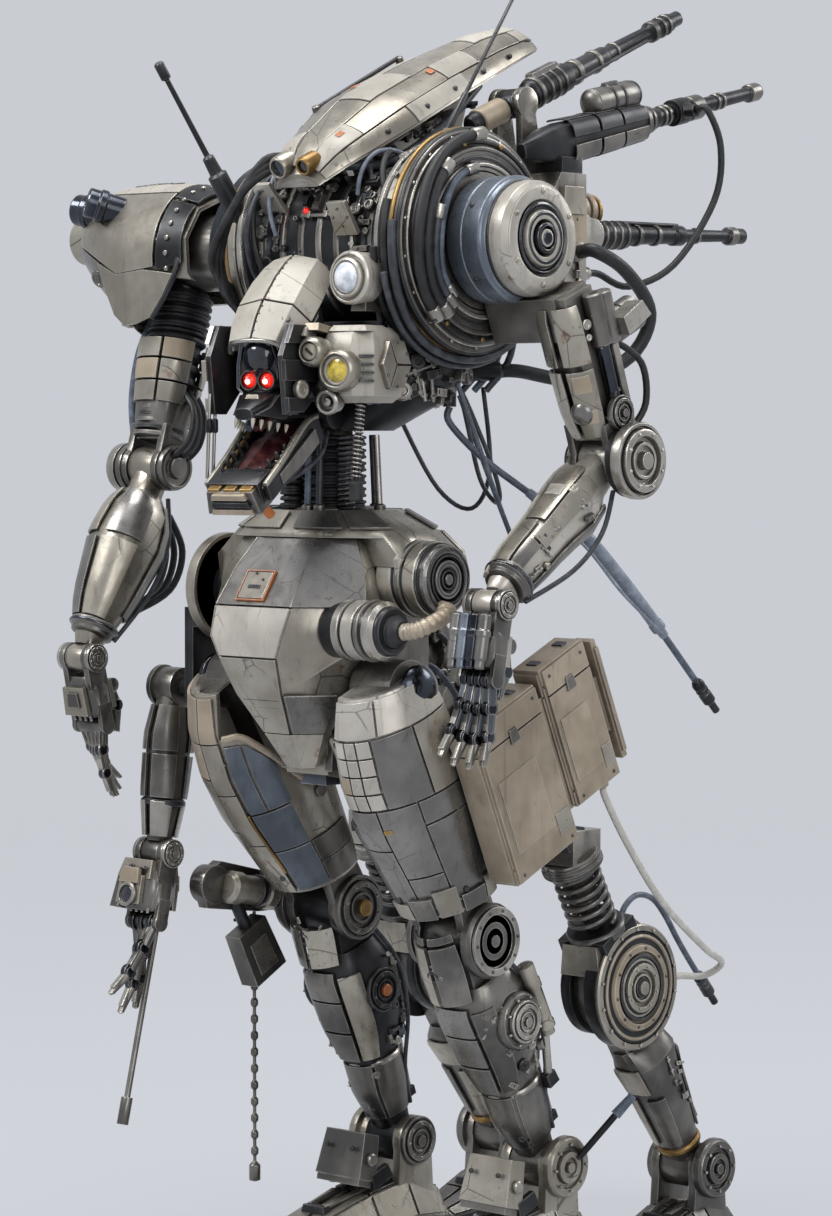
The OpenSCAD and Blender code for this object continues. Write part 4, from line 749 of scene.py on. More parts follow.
def thigh_armour(body, m, left):
    """Panelled plates over the petal shell."""
    if left:
        # Smooth dome, a column of short bands, and smooth panels below; the dome is pale, lighter than the silver
        # panels: painted light from above
        for a0, a1 in ((-106, -54), (-53.4, 26)):
            plate(part(body, "pale"), m, THIGH_FORM, -10, 7, a0, a1, gap=0.2, lift=0.6, thick=1.4, steps=7)
        for i in range(4):
            for a0, a1 in ((-106, -92), (-91.4, -78), (-77.4, -62)):
                tone = "tan" if (i + a0) % 3 == 1 else "pale"
                plate(part(body, tone), m, THIGH_FORM, -19 - 9 * i, -10.4 - 9 * i, a0, a1, gap=0.2, thick=1.5)
        plate(part(body, "silver"), m, THIGH_FORM, -46.4, -10.4, -61, -20, gap=0.2, thick=1.4, steps=6)
        plate(part(body, "sand"), m, THIGH_FORM, -46.4, -10.4, -19, 26, gap=0.2, thick=1.4, steps=6)
        for a0, a1, seam in ((-106, -74, -70), (-73.4, -36, -88), (-35.4, 26, -60)):
            for low, high in ((-112, seam - 0.3), (seam + 0.3, -47)):
                plate(part(body, "silver"), m, THIGH_FORM, low, high, a0, a1, gap=0.12, thick=1.4, steps=7)
        plate(part(body, "brass"), m, THIGH_FORM, -60, -57, -74, -64, lift=1.4, thick=0.7)
        for i, (a0, a1) in enumerate(((-116, -86), (-85, -58), (-57, -30), (-29, 2), (3, 26))):
            plate(part(body, "gunmetal" if i % 2 else "sand"), m, THIGH_FORM, -113, -103 + 3 * (i % 3), a0,
                  a1, gap=0.3, lift=1.5, thick=1.5 + 0.5 * (i % 2))
        clutter(body, m, on_form(THIGH_FORM, -112, -102, -110, 24), 26, 2.8,
                ("sand", "steel", "gunmetal", "iron"))
        inner, back = "silver", "silver"
    else:
        # Sand plates outside, then a blue strip up to the slanted mouth
        for a0, a1, step in ((-107, -84, 0), (-83.6, -61, 9), (-60.6, -18, 0), (-17.6, 27, 5)):
            for low, high in ((-112, -78 + step), (-77.6 + step, -44 + step),
                              (-43.6 + step, -15), (-14.6, 7)):
                tone = "tan" if high > 0 or (step == 9 and low > -40) else "sand"
                plate(part(body, tone), m, THIGH_FORM, low, high, a0, a1, gap=0.2, thick=1.6, steps=6)
        hose(part(body, "brass"), m, [section(THIGH_FORM, z, -108.4) * 1.025 for z in range(-96, -50, 8)],
             0.9, sides=8, steps=2)
        clutter(body, m, on_form(THIGH_FORM, -40, 4, -104, -62), 12, 2.6, ("tan", "sand", "gunmetal"))
        for first, last in ((-110, -128), (-129, -152)):
            grid = []
            for i in range(6):
                row = []
                for k in range(6):
                    a = first + (last - first) * k / 5
                    top = max(rim_height(a) - 4, -56)
                    row.append(section(THIGH_FORM, -57.4 + (top + 57.4) * i / 5, a))
                grid.append(row)
            patch(part(body, "blue"), m, grid, gap=0.2, thick=1.1, inside=(0, 0, -40))
        inner, back = "blue", "gunmetal"
    for low, high in ((-112, -84), (-83.6, -58)):
        plate(part(body, inner), m, THIGH_FORM, low, high, -150, -110, gap=0.2, thick=1.1)
    for low, high in ((-112, -98), (-98, -84)):
        plate(part(body, back), m, THIGH_FORM, low, high, -198, -150, gap=0.3, thick=1.1)
    hose(part(body, "sand" if left else "tan"), m, mouth_rim(), 1.9, sides=8, steps=2)
    for a in (-100, -60, -20, 20):
        stud(part(body, "iron"), m, THIGH_FORM, -102, a, 1.6, 2.4)
    # Workings in the dark hollow behind the shell
    for x in (-9, 9):
        rod(part(body, "steel"), m, (x, 8, -18), (x, 10, -70), 2.4)
        rod(part(body, "iron"), m, (x, 10, -60), (x, 9, -112), 3.8)
    clutter(body, m, on_flat((-8, 10, -95), (16, 0, 0), (0, 0, 80), (0, 1, 0)), 14, 3.5)
    for x in (-12, 13):
        hose(part(body, "cable"), m, [(x, 4, -14), (x * 1.3, 12, -40), (x * 1.2, 14, -80), (x, 8, -112)], 1.3)


def outrigger(body, k):
    """Thick tube beside the right knee, and the box that hangs from it."""
    tube = [(4, 6.4), (6, 8), (20, 8), (21, 9), (27, 9), (28, 8), (44, 7.4), (45, 8.6), (52, 8.6), (54, 6.4)]
    turned(part(body, "sand"), k, (27, 2, 0), (0, -46, 38), tube, 32)
    turned(part(body, "iron"), k, (27, 2, 0), (0, -46, 38),
           [(30, 8.2), (30.6, 8.7), (33, 8.7), (33.6, 8.2)], 32)
    box(part(body, "gunmetal"), k, (29, -36, -8), (12, 24, 30), taper=0.9)
    box(part(body, "steel"), k, (29, -36, -10), (13, 14, 18), taper=0.9)
    rod(part(body, "iron"), k, (29, -36, 6), (29, -36, 30), 3.4)
    for z in (-20, 2):
        bolts(part(body, "iron"), k, (35, -36, z), (1, 0, 0), 8, 2, 1.0)


def knee(thigh, shin, m, m_shin, left):
    """Round knee covers on both sides, and the kneecap."""
    k = shift(m, z=-THIGH_LENGTH)
    turned(part(thigh, "steel"), k, (23.6, 0, 0), (1, 0, 0),
           [(0, 17.4), (1.6, 17.4), (2, 16.6), (2, 13.6), (0, 13.2)], 40)
    bolts(part(thigh, "iron"), k, (25.4, 0, 0), (1, 0, 0), 15.4, 10, 0.9)
    hub(part(thigh, "gunmetal"), k, (-17.4, 0, 0), (-1, 0, 0), 17, 6)
    turned(part(thigh, "brass"), k, (-22.4, 0, 0), (-1, 0, 0), [(0, 4.4), (2.4, 4.4), (3, 3.4), (3, 2)], 24)
    cap_top = 8 if left else -3
    for a0, a1, tone in ((-138, -92, "sand"), (-88, -42, "gunmetal")):
        plate(part(shin, tone), m_shin, KNEECAP_FORM, -25, cap_top, a0, a1, thick=2.2)
        if left:
            plate(part(shin, "gunmetal"), m_shin, KNEECAP_FORM, 8.6, 13, a0, a1, thick=1.4)
    if not left:
        outrigger(thigh, k)
    clutter(shin, m_shin, on_form(KNEECAP_FORM, -25, 4, -126, -54), 18, 2.8,
            ("iron", "steel", "sand", "gunmetal"))
    turned(part(shin, "iron"), m_shin, (0, -23, -8), (0, -1, 0),
           [(0, 4.5), (2.4, 4.5), (3, 3.6), (3, 2.2), (2, 2)], 20)


def shank(body, m, left):
    """Plates, pistons and leads of a front shank."""
    front, outer = ("silver", "gunmetal") if left else ("gunmetal", "blue")
    # Narrow stacked plates down the front, broad plates beside them
    for low, high in ((-46, -30), (-65, -46.6), (-84, -65.6)):
        plate(part(body, front), m, SHIN_FORM, low, high, -112, -68, gap=0.3, lift=0.5, thick=1.8, p=0.7)
    plate(part(body, outer), m, SHIN_FORM, -84, -32, -65, -22, gap=0.3, thick=1.3, p=0.7, steps=7)
    plate(part(body, "sand"), m, SHIN_FORM, -84, -32, -158, -115, gap=0.3, thick=1.4, p=0.7, steps=7)
    plate(part(body, "gunmetal"), m, SHIN_FORM, -84, -34, 56, 124, thick=1.4, p=0.7)
    # Smooth sleeve round the slender lower end
    for a0 in (-135, -45, 45, 135):
        plate(part(body, "gunmetal"), m, SHIN_FORM, -122, -88, a0 + 2, a0 + 88, gap=0.2, thick=1.1,
              p=0.8, steps=6)
    for x in (-8, 8):
        rod(part(body, "steel"), m, (x, 15.6, -60), (0.8 * x, 12, -116), 2.0)
        turned(part(body, "gunmetal"), m, (x, 18, -32), (0, -0.08, -1),
               [(0, 2.4), (1, 3.8), (30, 3.8), (31, 3.0), (34, 3.0), (34, 2)], 16)
        box(part(body, "iron"), m, (0.8 * x, 12, -117), (5, 6, 5))
        hose(part(body, "cable"), m,
             [(1.5 * x, 12, -16), (2.4 * x, 17, -40), (2.2 * x, 16, -70), (1.4 * x, 10, -100),
              (1.1 * x, 9, -122)], 1.2)
    # Thick cylinder behind the outer wheel, on the left leg only
    if left:
        turned(part(body, "sand"), m, (19, 18.4, -26), (0, 0, -1),
               [(0, 2.4), (1, 4.4), (9, 4.4), (10, 5), (14, 5), (15, 4.4), (34, 4.4), (35, 5), (38, 5),
                (39, 3.6), (42, 3.6)], 20)
        rod(part(body, "steel"), m, (19, 18.4, -60), (14, 13, -92), 2.2)
        box(part(body, "iron"), m, (14, 13, -93), (6, 8, 7), taper=0.85)
    hub(part(body, "iron"), m, (-19, 0, -48), (-1, 0, 0), 12, 5)
    turned(part(body, "orange"), m, (-22, 0, -48), (-1, 0, 0), [(0, 3.2), (2.2, 3.2), (2.8, 2.4)], 20)
    hub(part(body, "steel" if left else "iron"), m, (24, 0, -48), (1, 0, 0), 11, 4)
    bolts(part(body, "steel"), m, (25, 0, -48), (1, 0, 0), 12.4, 8, 0.8)
    busy = ("steel", "gunmetal", "sand" if left else "blue", "iron")
    for a0, a1, count in ((-18, 40, 16), (130, 192, 14), (-62, -20, 5)):
        clutter(body, m, on_form(SHIN_FORM, -84, -34, a0, a1, 0.7), count, 3.6, busy)
    clutter(body, m, on_form(SHIN_FORM, -120, -92, 40, 320, 0.7), 10, 2.6, busy)
    turned(part(body, "steel"), m, (0, 0, -87), (0, 0, -1),
           [(0, 14.6), (1, 15.4), (2.6, 15.4), (3.4, 14.6)], 28)


# Ankle height, toe reach and heel reach
FRONT_FOOT, REAR_FOOT = (55, 122, 28), (40, 54, 26)


def foot_frame(name, side):
    """Frame at an ankle, with +X outward."""
    return Matrix.Translation(JOINT[name + "_ankle"]) @ Matrix.Diagonal((side * MM, MM, MM, 1))


def foot_scale(h):
    """Height of a foot with its ankle at h, as a share of the front foot's."""
    return (h - 18) / 37


def foot_rows(h, toe, heel):
    """Cross-sections of a foot: distance ahead, half-width, side height and top height above the sole."""
    k = foot_scale(h)
    return [(-heel, 12, 8 * k, 14 * k), (9 - heel, 19, 13 * k, 27 * k), (6, 22, 16 * k, 34 * k),
            (0.28 * toe, 22, 14 * k, 30 * k), (0.6 * toe, 20, 10 * k, 20 * k), (toe, 12, 4 * k, 8 * k)]


def foot_armour(body, m, h, toe, heel, tone):
    """Facet plates on a foot, its ankle covers and its instep piston."""
    rows = foot_rows(h, toe, heel)
    k = foot_scale(h)
    inside = (0, -0.3 * toe, 4 - h)
    for i, (a, b) in enumerate(zip(rows, rows[1:])):
        for s in (-1, 1):
            def rib(r, part_way, level):
                return (s * r[1] * part_way, -r[0], level - h)
            top = [rib(a, 0.04, a[3]), rib(a, 0.6, a[3]), rib(b, 0.6, b[3]), rib(b, 0.04, b[3])]
            flank = [rib(a, 0.6, a[3]), rib(a, 1, a[2]), rib(b, 1, b[2]), rib(b, 0.6, b[3])]
            side = [rib(a, 1, a[2]), rib(a, 1, 0.8), rib(b, 1, 0.8), rib(b, 1, b[2])]
            if i != 1:
                facet(part(body, tone if i % 2 else "gunmetal"), m, top, thick=1.6, inside=inside)
            facet(part(body, tone), m, flank, thick=1.3, inside=inside)
            facet(part(body, "gunmetal" if i % 2 else "iron"), m, side, thick=1.0, inside=inside)
    for s in (-1, 1):
        rod(part(body, "steel"), m, (s * 7, -8, 36 * k - h), (s * 5, -0.5 * toe, 27 * k - h), 1.8)
    bolts(part(body, "steel"), m, (21.4, 0, 0), (1, 0, 0), 12, 8, 0.9)
    hub(part(body, "gunmetal"), m, (-15, 0, 0), (-1, 0, 0), 13, 5)
    box(part(body, "iron"), m, (0, -0.5 * toe, 25 * k - h), (18, 7, 6), taper=0.8)


def ankle_hood(body, m, tone):
    """Sloping hood ahead of a front ankle, with a lip, side arms and bolts."""
    box(part(body, tone), m, (0, -36, -4), (32, 13, 24), tilt=-14, taper=0.86)
    box(part(body, "gunmetal"), m, (0, -40, -17), (30, 10, 4), tilt=-14)
    for side in (-1, 1):
        box(part(body, "iron"), m, (side * 14.4, -28, -15), (4, 16, 8), tilt=20, taper=0.85)
        turned(part(body, "steel"), m, (side * 15, -36, -5), (side, 0, 0),
               [(0, 3.4), (2, 3.4), (2.6, 2.6), (2.6, 1)], 16)
    for x in (-9, 9):
        turned(part(body, "iron"), m, (x, -42.4, 1), (0, -1, 0.2), [(0, 1.4), (1.4, 1.4), (2, 0.8)], 10)
    clutter(body, m, on_flat((-13, -33, -25), (26, 0, 0), (0, 4, 8), (0, -1, 0)), 9, 3.4)


FRONT_TONE = {"front_right": "sand", "front_left": "steel"}
for name, side in (("front_right", -1), ("front_left", 1)):
    m_thigh = limb(name + "_hip", name + "_knee", side)
    m_shin = limb(name + "_knee", name + "_ankle", side)
    m_foot = foot_frame(name, side)
    thigh_armour(name + "_thigh", m_thigh, side > 0)
    knee(name + "_thigh", name + "_shin", m_thigh, m_shin, side > 0)
    shank(name + "_shin", m_shin, side > 0)
    foot_armour(name + "_foot", m_foot, *FRONT_FOOT, FRONT_TONE[name])
    ankle_hood(name + "_foot", m_foot, "sand" if side > 0 else "gunmetal")
    if side > 0:
        # Lever at the left ankle
        rod(part(name + "_foot", "iron"), m_foot, (21, 6, 4), (34, 20, 26), 1.8)
        rod(part(name + "_foot", "blue_cable"), m_foot, (34, 20, 26), (40, 27, 36), 2.8, 2.2)

# Rear legs

REAR_FORM = [(-111, 0, 0, 9.4, 9), (-106, 0, 0, 9.4, 10), (-82, 0, 0, 12, 12), (-62, 0, 0, 13, 14),
             (-46, 0, 0, 14, 17), (-35, -2, 0, 8, 16)]


def rear_leg(name, side):
    """Drum, shank, foot and strut sleeve of a rear leg."""
    drum, reach = drum_frame(name, side)
    thigh, shin, foot = (name + end for end in ("_thigh", "_shin", "_foot"))
    turned(part(thigh, "sand"), drum, (13, 0, 0), (1, 0, 0),
           [(0, 33), (1.2, 33), (2.2, 32), (2.2, 28.6), (0.4, 28)], 56)
    face = [(0, 28), (3.2, 27.6), (3.8, 26.4), (2.4, 25.4), (2.4, 23), (4.6, 22), (5, 19), (3, 18.4), (3, 16)]
    turned(part(thigh, "tan"), drum, (12.4, 0, 0), (1, 0, 0), face, 56)
    hub(part(thigh, "sand"), drum, (13, 0, 0), (1, 0, 0), 15.6, 6.4)
    turned(part(thigh, "iron"), drum, (14, 0, 0), (1, 0, 0),
           [(0, 17.4), (3, 17.4), (3.4, 16.8), (3.4, 16), (2, 15.6)], 40)
    bolts(part(thigh, "steel"), drum, (15.4, 0, 0), (1, 0, 0), 30.4, 14, 1.1)
    bolts(part(thigh, "iron"), drum, (17.2, 0, 0), (1, 0, 0), 20.4, 10, 0.8)
    hub(part(thigh, "gunmetal"), drum, (-15, 0, 0), (-1, 0, 0), 25, 4)
    turned(part(thigh, "gunmetal"), drum, (0, 0, 33), (0, 0, 1),
           [(0, 16), (3.4, 16), (4.6, 15), (4.6, 12)], 32)
    for s in (-1, 1):
        box(part(thigh, "sand"), drum, (0, s * 17, 27), (26, 5, 16), tilt=s * 24, taper=0.85)
    m = limb(name + "_knee", name + "_ankle", side)
    for low, high, a0, a1 in ((-100, -66, -150, -96), (-100, -66, -84, -30), (-100, -50, 40, 76),
            (-62, -44, -120, -60)):
        plate(part(shin, "sand" if a0 < -100 else "gunmetal"), m, REAR_FORM, low, high, a0, a1,
              thick=1.4, p=0.7)
    turned(part(shin, "iron"), m, (0, 15, -58), (0, 0, -1), [(0, 3.4), (1, 4.4), (18, 4.4), (19, 3.4)], 18)
    turned(part(shin, "brass"), m, (0, 0, -103), (0, 0, -1), [(0, 11), (1, 12), (3, 12), (4, 11)], 28)
    clutter(shin, m, on_form(REAR_FORM, -84, -50, -20, 40, 0.7), 8, 3.2)
    m_foot = foot_frame(name, side)
    foot_armour(foot, m_foot, *REAR_FOOT, "gunmetal")
    # Sleeve and flange at the top of the strut
    top = shift(drum, z=reach)
    turned(part("pelvis", "gunmetal"), top, (0, 0, -8), (0, 0, 1),
           [(0, 15.6), (1, 16.4), (3, 16.4), (3.6, 15.6), (6, 15.6), (7, 14.6)], 36)
    turned(part("pelvis", "steel"), top, (0, 0, -30), (0, 0, 1), [(0, 8.2), (1, 8.8), (3, 8.8), (4, 8.2)], 28)
    box(part("pelvis", "iron"), top, (0, 0, 6), (22, 20, 12), taper=0.8)


rear_leg("rear_left", 1)
rear_leg("rear_right", -1)

# Pelvis

FRONT_ROWS = [(266, 8, 8), (284, 17, 20), (304, 30, 33), (322, 38, 41), (332, 47, 42), (346, 50, 37),
              (364, 46, 25), (379, 38, 13)]
FRONT_Y = -20.1
COWL_FORM = [(342, 0, 4, 56, 30), (354, 0, 4, 67, 41), (370, 0, 4, 68, 44), (383, 0, 2, 54, 37),
             (393, 0, 0, 36, 27)]


def front_corner(row, column):
    """Corner of the front plate: columns 0 to 3 run from the robot's right to its left."""
    z, half, depth = row
    across = (-1, -0.5, 0.5, 1)[column] * half
    return across, FRONT_Y - depth * (0.3 if column in (0, 3) else 1), z


def pelvis_armour():
    """Front plates, hatch, belly nose and cowl top."""
    body = "pelvis"
    for first, last, column, end, tone in ((5, 7, 0, 1, "sand"), (5, 7, 1, 3, "silver"), (3, 5, 1, 2, "pale"),
                                           (3, 5, 0, 1, "sand"), (1, 3, 0, 1, "sand"), (1, 3, 1, 2, "sand"),
                                           (1, 2, 2, 3, "silver"), (0, 1, 0, 3, "sand")):
        grid = [[front_corner(row, k) for k in range(column, end + 1)] for row in FRONT_ROWS[first:last + 1]]
        patch(part(body, tone), ROBOT, grid, gap=0.22, lift=0, thick=1.8, inside=(0, 0, 330))
    # Hatch with a marked edge and a slot
    hatch = shift(ROBOT, -3, -52.4, 356, tilt=-33)
    box(part(body, "sand"), hatch, (0, -0.6, 0), (17, 2, 15))
    for s in (-1, 1):
        box(part(body, "orange"), hatch, (s * 9.2, -0.6, 0), (0.9, 2.2, 17))
        box(part(body, "orange"), hatch, (0, -0.6, s * 8.2), (19, 2.2, 0.9))
    box(part(body, "iron"), hatch, (0, -1.4, -1), (8, 1.4, 2))
    bolts(part(body, "iron"), hatch, (0, -1.6, 3), (0, -1, 0), 4, 3, 0.7)
    # Grille and nose under the belly
    for i in range(5):
        box(part(body, "iron"), ROBOT, (0, -50 + 2.6 * i, 300 - 3.8 * i), (24 - 2.4 * i, 6, 1.6), tilt=-20)
    for s in (-1, 1):
        box(part(body, "gunmetal"), ROBOT, (s * 15, -14, 272), (5, 14, 16), taper=0.8)
        turned(part(body, "steel"), ROBOT, (s * 17, -8, 272), (s, 0, 0),
               [(0, 4), (3, 4), (3.6, 3), (3.6, 1.6), (2, 1.4)], 20)
    box(part(body, "blue"), ROBOT, (0, -8, 259), (18, 16, 6), taper=0.8)
    # Top of the cowl; all but its right side in dark gunmetal, a painted shadow of the head above
    for a0, a1 in ((-162, -128), (-124, -92), (-88, -56), (-52, -18), (18, 56), (60, 120), (124, 162)):
        plate(part(body, "sand" if abs(a0) > 100 else "gunmetal"), ROBOT, COWL_FORM, 383.5, 392.5, a0, a1,
              thick=1.3, p=0.75)
    for a0, a1 in ((40, 86), (94, 140)):
        plate(part(body, "sand"), ROBOT, COWL_FORM, 356, 382, a0, a1, thick=1.5, p=0.75)
    for a0, a1 in ((-196, -172), (146, 160)):
        plate(part(body, "sand"), ROBOT, COWL_FORM, 370.5, 382, a0, a1, thick=1.5, p=0.75)
    turned(part(body, "gunmetal"), ROBOT, (0, 0, 392), (0, 0, 1),
           [(0, 22), (1.5, 22), (2.5, 20.5), (2.5, 16)], 40)
    bolts(part(body, "iron"), ROBOT, (0, 0, 394), (0, 0, 1), 19, 12, 0.9)
    for p, r in (((-26, -14, 392), 5), ((27, -10, 391), 4), ((-30, 12, 391), 4)):
        turned(part(body, "iron"), ROBOT, p, (0, 0, 1),
               [(-2, r), (2, r), (3, 0.8 * r), (3, 0.4 * r), (1, 0.3 * r)], 20)


def pelvis_drives():
    """Round drives at both sides of the pelvis, hip caps, fittings and leads."""
    body = "pelvis"
    high = shift(ROBOT, 0, -2, 360)
    for x0, x1, r, tone in ((40, 44, 19, "steel"), (46, 56, 18.7, "pale"), (58, 62, 19.2, "gunmetal"),
                            (63, 71, 18.6, "sand")):
        turned(part(body, tone), high, (x0, 0, 0), (1, 0, 0), band(x1 - x0, r), 48)
    turned(part(body, "silver"), high, (74, 0, 0), (1, 0, 0),
           [(0, 17.4), (2, 17.4), (3.4, 16), (3.4, 13), (1, 12), (1, 10), (3.8, 9.4), (3.8, 6.6), (2, 6),
            (2, 3), (4.4, 2.6)], 48)
    for r in (15.4, 12.2, 8.4, 5):
        turned(part(body, "iron"), high, (76, 0, 0), (1, 0, 0),
               [(0, r), (1.9, r), (1.9, r - 0.9), (0, r - 1)], 40)
    bolts(part(body, "iron"), high, (77.2, 0, 0), (1, 0, 0), 14.6, 8, 0.9)
    low = shift(ROBOT, 0, -36, 336)
    for x0, x1, r, tone in ((44, 49, 14.9, "steel"), (50, 58, 14.6, "pale"), (59, 62, 15.2, "gunmetal")):
        turned(part(body, tone), low, (x0, 0, 0), (1, 0, 0), band(x1 - x0, r), 40)
    turned(part(body, "steel"), low, (63, 0, 0), (1, 0, 0),
           [(0, 13), (1, 14.4), (5, 14.4), (7, 12.6), (7, 9.6), (5, 9)], 44)
    ribs = [(d, 8.2 - (d % 2) * 1.2) for d in range(0, 14)]
    turned(part(body, "rubber"), low, (63, 0, 0), (1, 0, 0), ribs + [(14, 6), (16, 5.4)], 32)
    hose(part(body, "tan"), ROBOT,
         [(77, -36, 336), (85, -34, 337), (89, -24, 341), (86, -12, 345), (76, -6, 346)], 4.2, ribs=14,
         depth=0.14, sides=14)
    right = shift(ROBOT, 0, -2, 352)
    turned(part(body, "sand"), right, (-70, 0, 0), (-1, 0, 0),
           [(0, 24), (0, 28), (6, 28), (7, 27), (7, 24)], 48)
    turned(part(body, "iron"), right, (-76, 0, 0), (-1, 0, 0),
           [(0, 20), (4, 20), (5, 19), (5, 12), (3, 11)], 40)
    for side in (-1, 1):
        hip = shift(ROBOT, side * 50, -14, 306)
        turned(part(body, "chrome"), hip, (side * 16.6, 0, 0), (side, 0, 0),
               [(0, 12), (1, 13), (3, 13), (5, 11.5), (7.4, 8), (8.6, 4), (8.8, 0.1)], 40)
    clutter(body, ROBOT, on_flat((-34, 31, 306), (68, 0, 0), (0, 0, 60), (0, 1, 0)), 26, 5)
    for side in (-1, 1):
        clutter(body, ROBOT, on_flat((side * 36.4, -16, 325), (0, 42, 0), (0, 0, 44), (side, 0, 0)), 10, 3.4)
        clutter(body, ROBOT, on_flat((side * 20.4, 44, 300), (0, 30, 0), (0, 0, 30), (side, 0, 0)), 8, 4)
        hose(part(body, "cable"), ROBOT, [(side * 18, 31, 330), (side * 26, 48, 330), (side * 30, 74, 300),
                                          (side * 40, 92, 250), (side * 56, 97, 226)], 1.8)
        hose(part(body, "blue_cable"), ROBOT,
             [(side * 24, 31, 316), (side * 30, 42, 312), (side * 30, 64, 290), (side * 34, 88, 244),
              (side * 48, 97, 224)], 1.6)


pelvis_armour()
pelvis_drives()

# Panniers

BOX = shift(ROBOT, 80, 52, 268, tilt=24)


def pannier(y0, y1, z0, z1):
    """Rounded box with a lid seam, a low raised panel, a latch and small bolts."""
    body = "pelvis"
    wide, y, z, long = 17, (y0 + y1) / 2, (z0 + z1) / 2, y1 - y0
    for low, high in ((z0 + 1, z1 - 15), (z1 - 14, z1 - 1)):
        box(part(body, "tan"), BOX, (wide + 0.4, y, (low + high) / 2), (2.4, long - 2, high - low))
    box(part(body, "tan"), BOX, (wide + 1.5, y - 0.1 * long, z - 8), (1.4, 0.6 * long, 0.45 * (z1 - z0)))
    box(part(body, "sand"), BOX, (wide + 1.4, y + 0.34 * long, z0 + 14), (1.4, 0.2 * long, 12))
    for low, high in ((z0 + 2, z1 - 15), (z1 - 14, z1 - 2)):
        box(part(body, "tan"), BOX, (wide / 2, y0 - 0.4, (low + high) / 2), (wide - 2, 2, high - low))
    box(part(body, "gunmetal"), BOX, (wide + 1.6, y, z1 - 15), (2.2, 7, 7), taper=0.8)
    for s in (-1, 1):
        for end in (z0 + 4, z1 - 5):
            bolts(part(body, "iron"), BOX, (wide + 1.4, y + s * (long / 2 - 5), end), (1, 0, 0), 0, 1, 1.0)
        box(part(body, "iron"), BOX, (wide / 2, y + 0.3 * s * long, z1 - 0.2), (8, 5, 2), taper=0.8)


pannier(-46, 4, -44, 42)
pannier(10, 46, -30, 46)
box(part("pelvis", "tan"), BOX, (15.6, 56, 7), (1.6, 2.6, 58))
bolts(part("pelvis", "iron"), BOX, (9, 58, 34), (0, 1, 0), 3.4, 4, 0.8)
bolts(part("pelvis", "iron"), BOX, (9, 58, -20), (0, 1, 0), 3.4, 4, 0.8)
box(part("pelvis", "sand"), BOX, (9, 58.4, 7), (9, 1.4, 40), taper=0.95)

# Waist


def waist():
    """Ribbed boot, two ribbed hoses, a sprung rod and thin pipes."""
    for i in range(11):
        z = 395.5 + 3.2 * i
        turned(part("pelvis", "rubber"), ROBOT, (0, 0, z), (0, 0, 1),
               [(0, 14), (0.5, 15.8), (1.7, 15.8), (2.2, 14)], 36)
    for x, y, r in ((-21, -7, 5.5), (-12, -18.5, 5.5)):
        for i in range(12):
            turned(part("pelvis", "rubber"), ROBOT, (x, y, 394.5 + 2.9 * i), (0, 0, 1),
                   [(0, r - 0.6), (0.4, r + 0.5), (1.4, r + 0.5), (1.8, r - 0.6)], 20)
    coil = [(19 + 4.2 * math.cos(0.9 * i), -12 + 4.2 * math.sin(0.9 * i), 394 + 0.36 * i) for i in range(100)]
    hose(part("pelvis", "iron"), ROBOT, coil, 0.8, sides=8, steps=1)
    for x, y, tone in ((-27, 4, "steel"), (25, 6, "steel"), (9, -21, "cable"), (2, -22, "blue_cable"),
                       (-4, 20, "cable"), (10, 19, "cable")):
        rod(part("pelvis", tone), ROBOT, (x, y, 391), (0.92 * x, 0.92 * y, 430), 1.7)
        turned(part("pelvis", "gunmetal"), ROBOT, (x, y, 391), (0, 0, 1), [(0, 3), (4, 3), (5, 2)], 14)


waist()

# Trunk, about the axis of its barrel

BARREL_Y, BARREL_Z, BARREL_RADIUS = 30, 525, 43
BARREL = shift(ROBOT, 0, BARREL_Y, BARREL_Z)


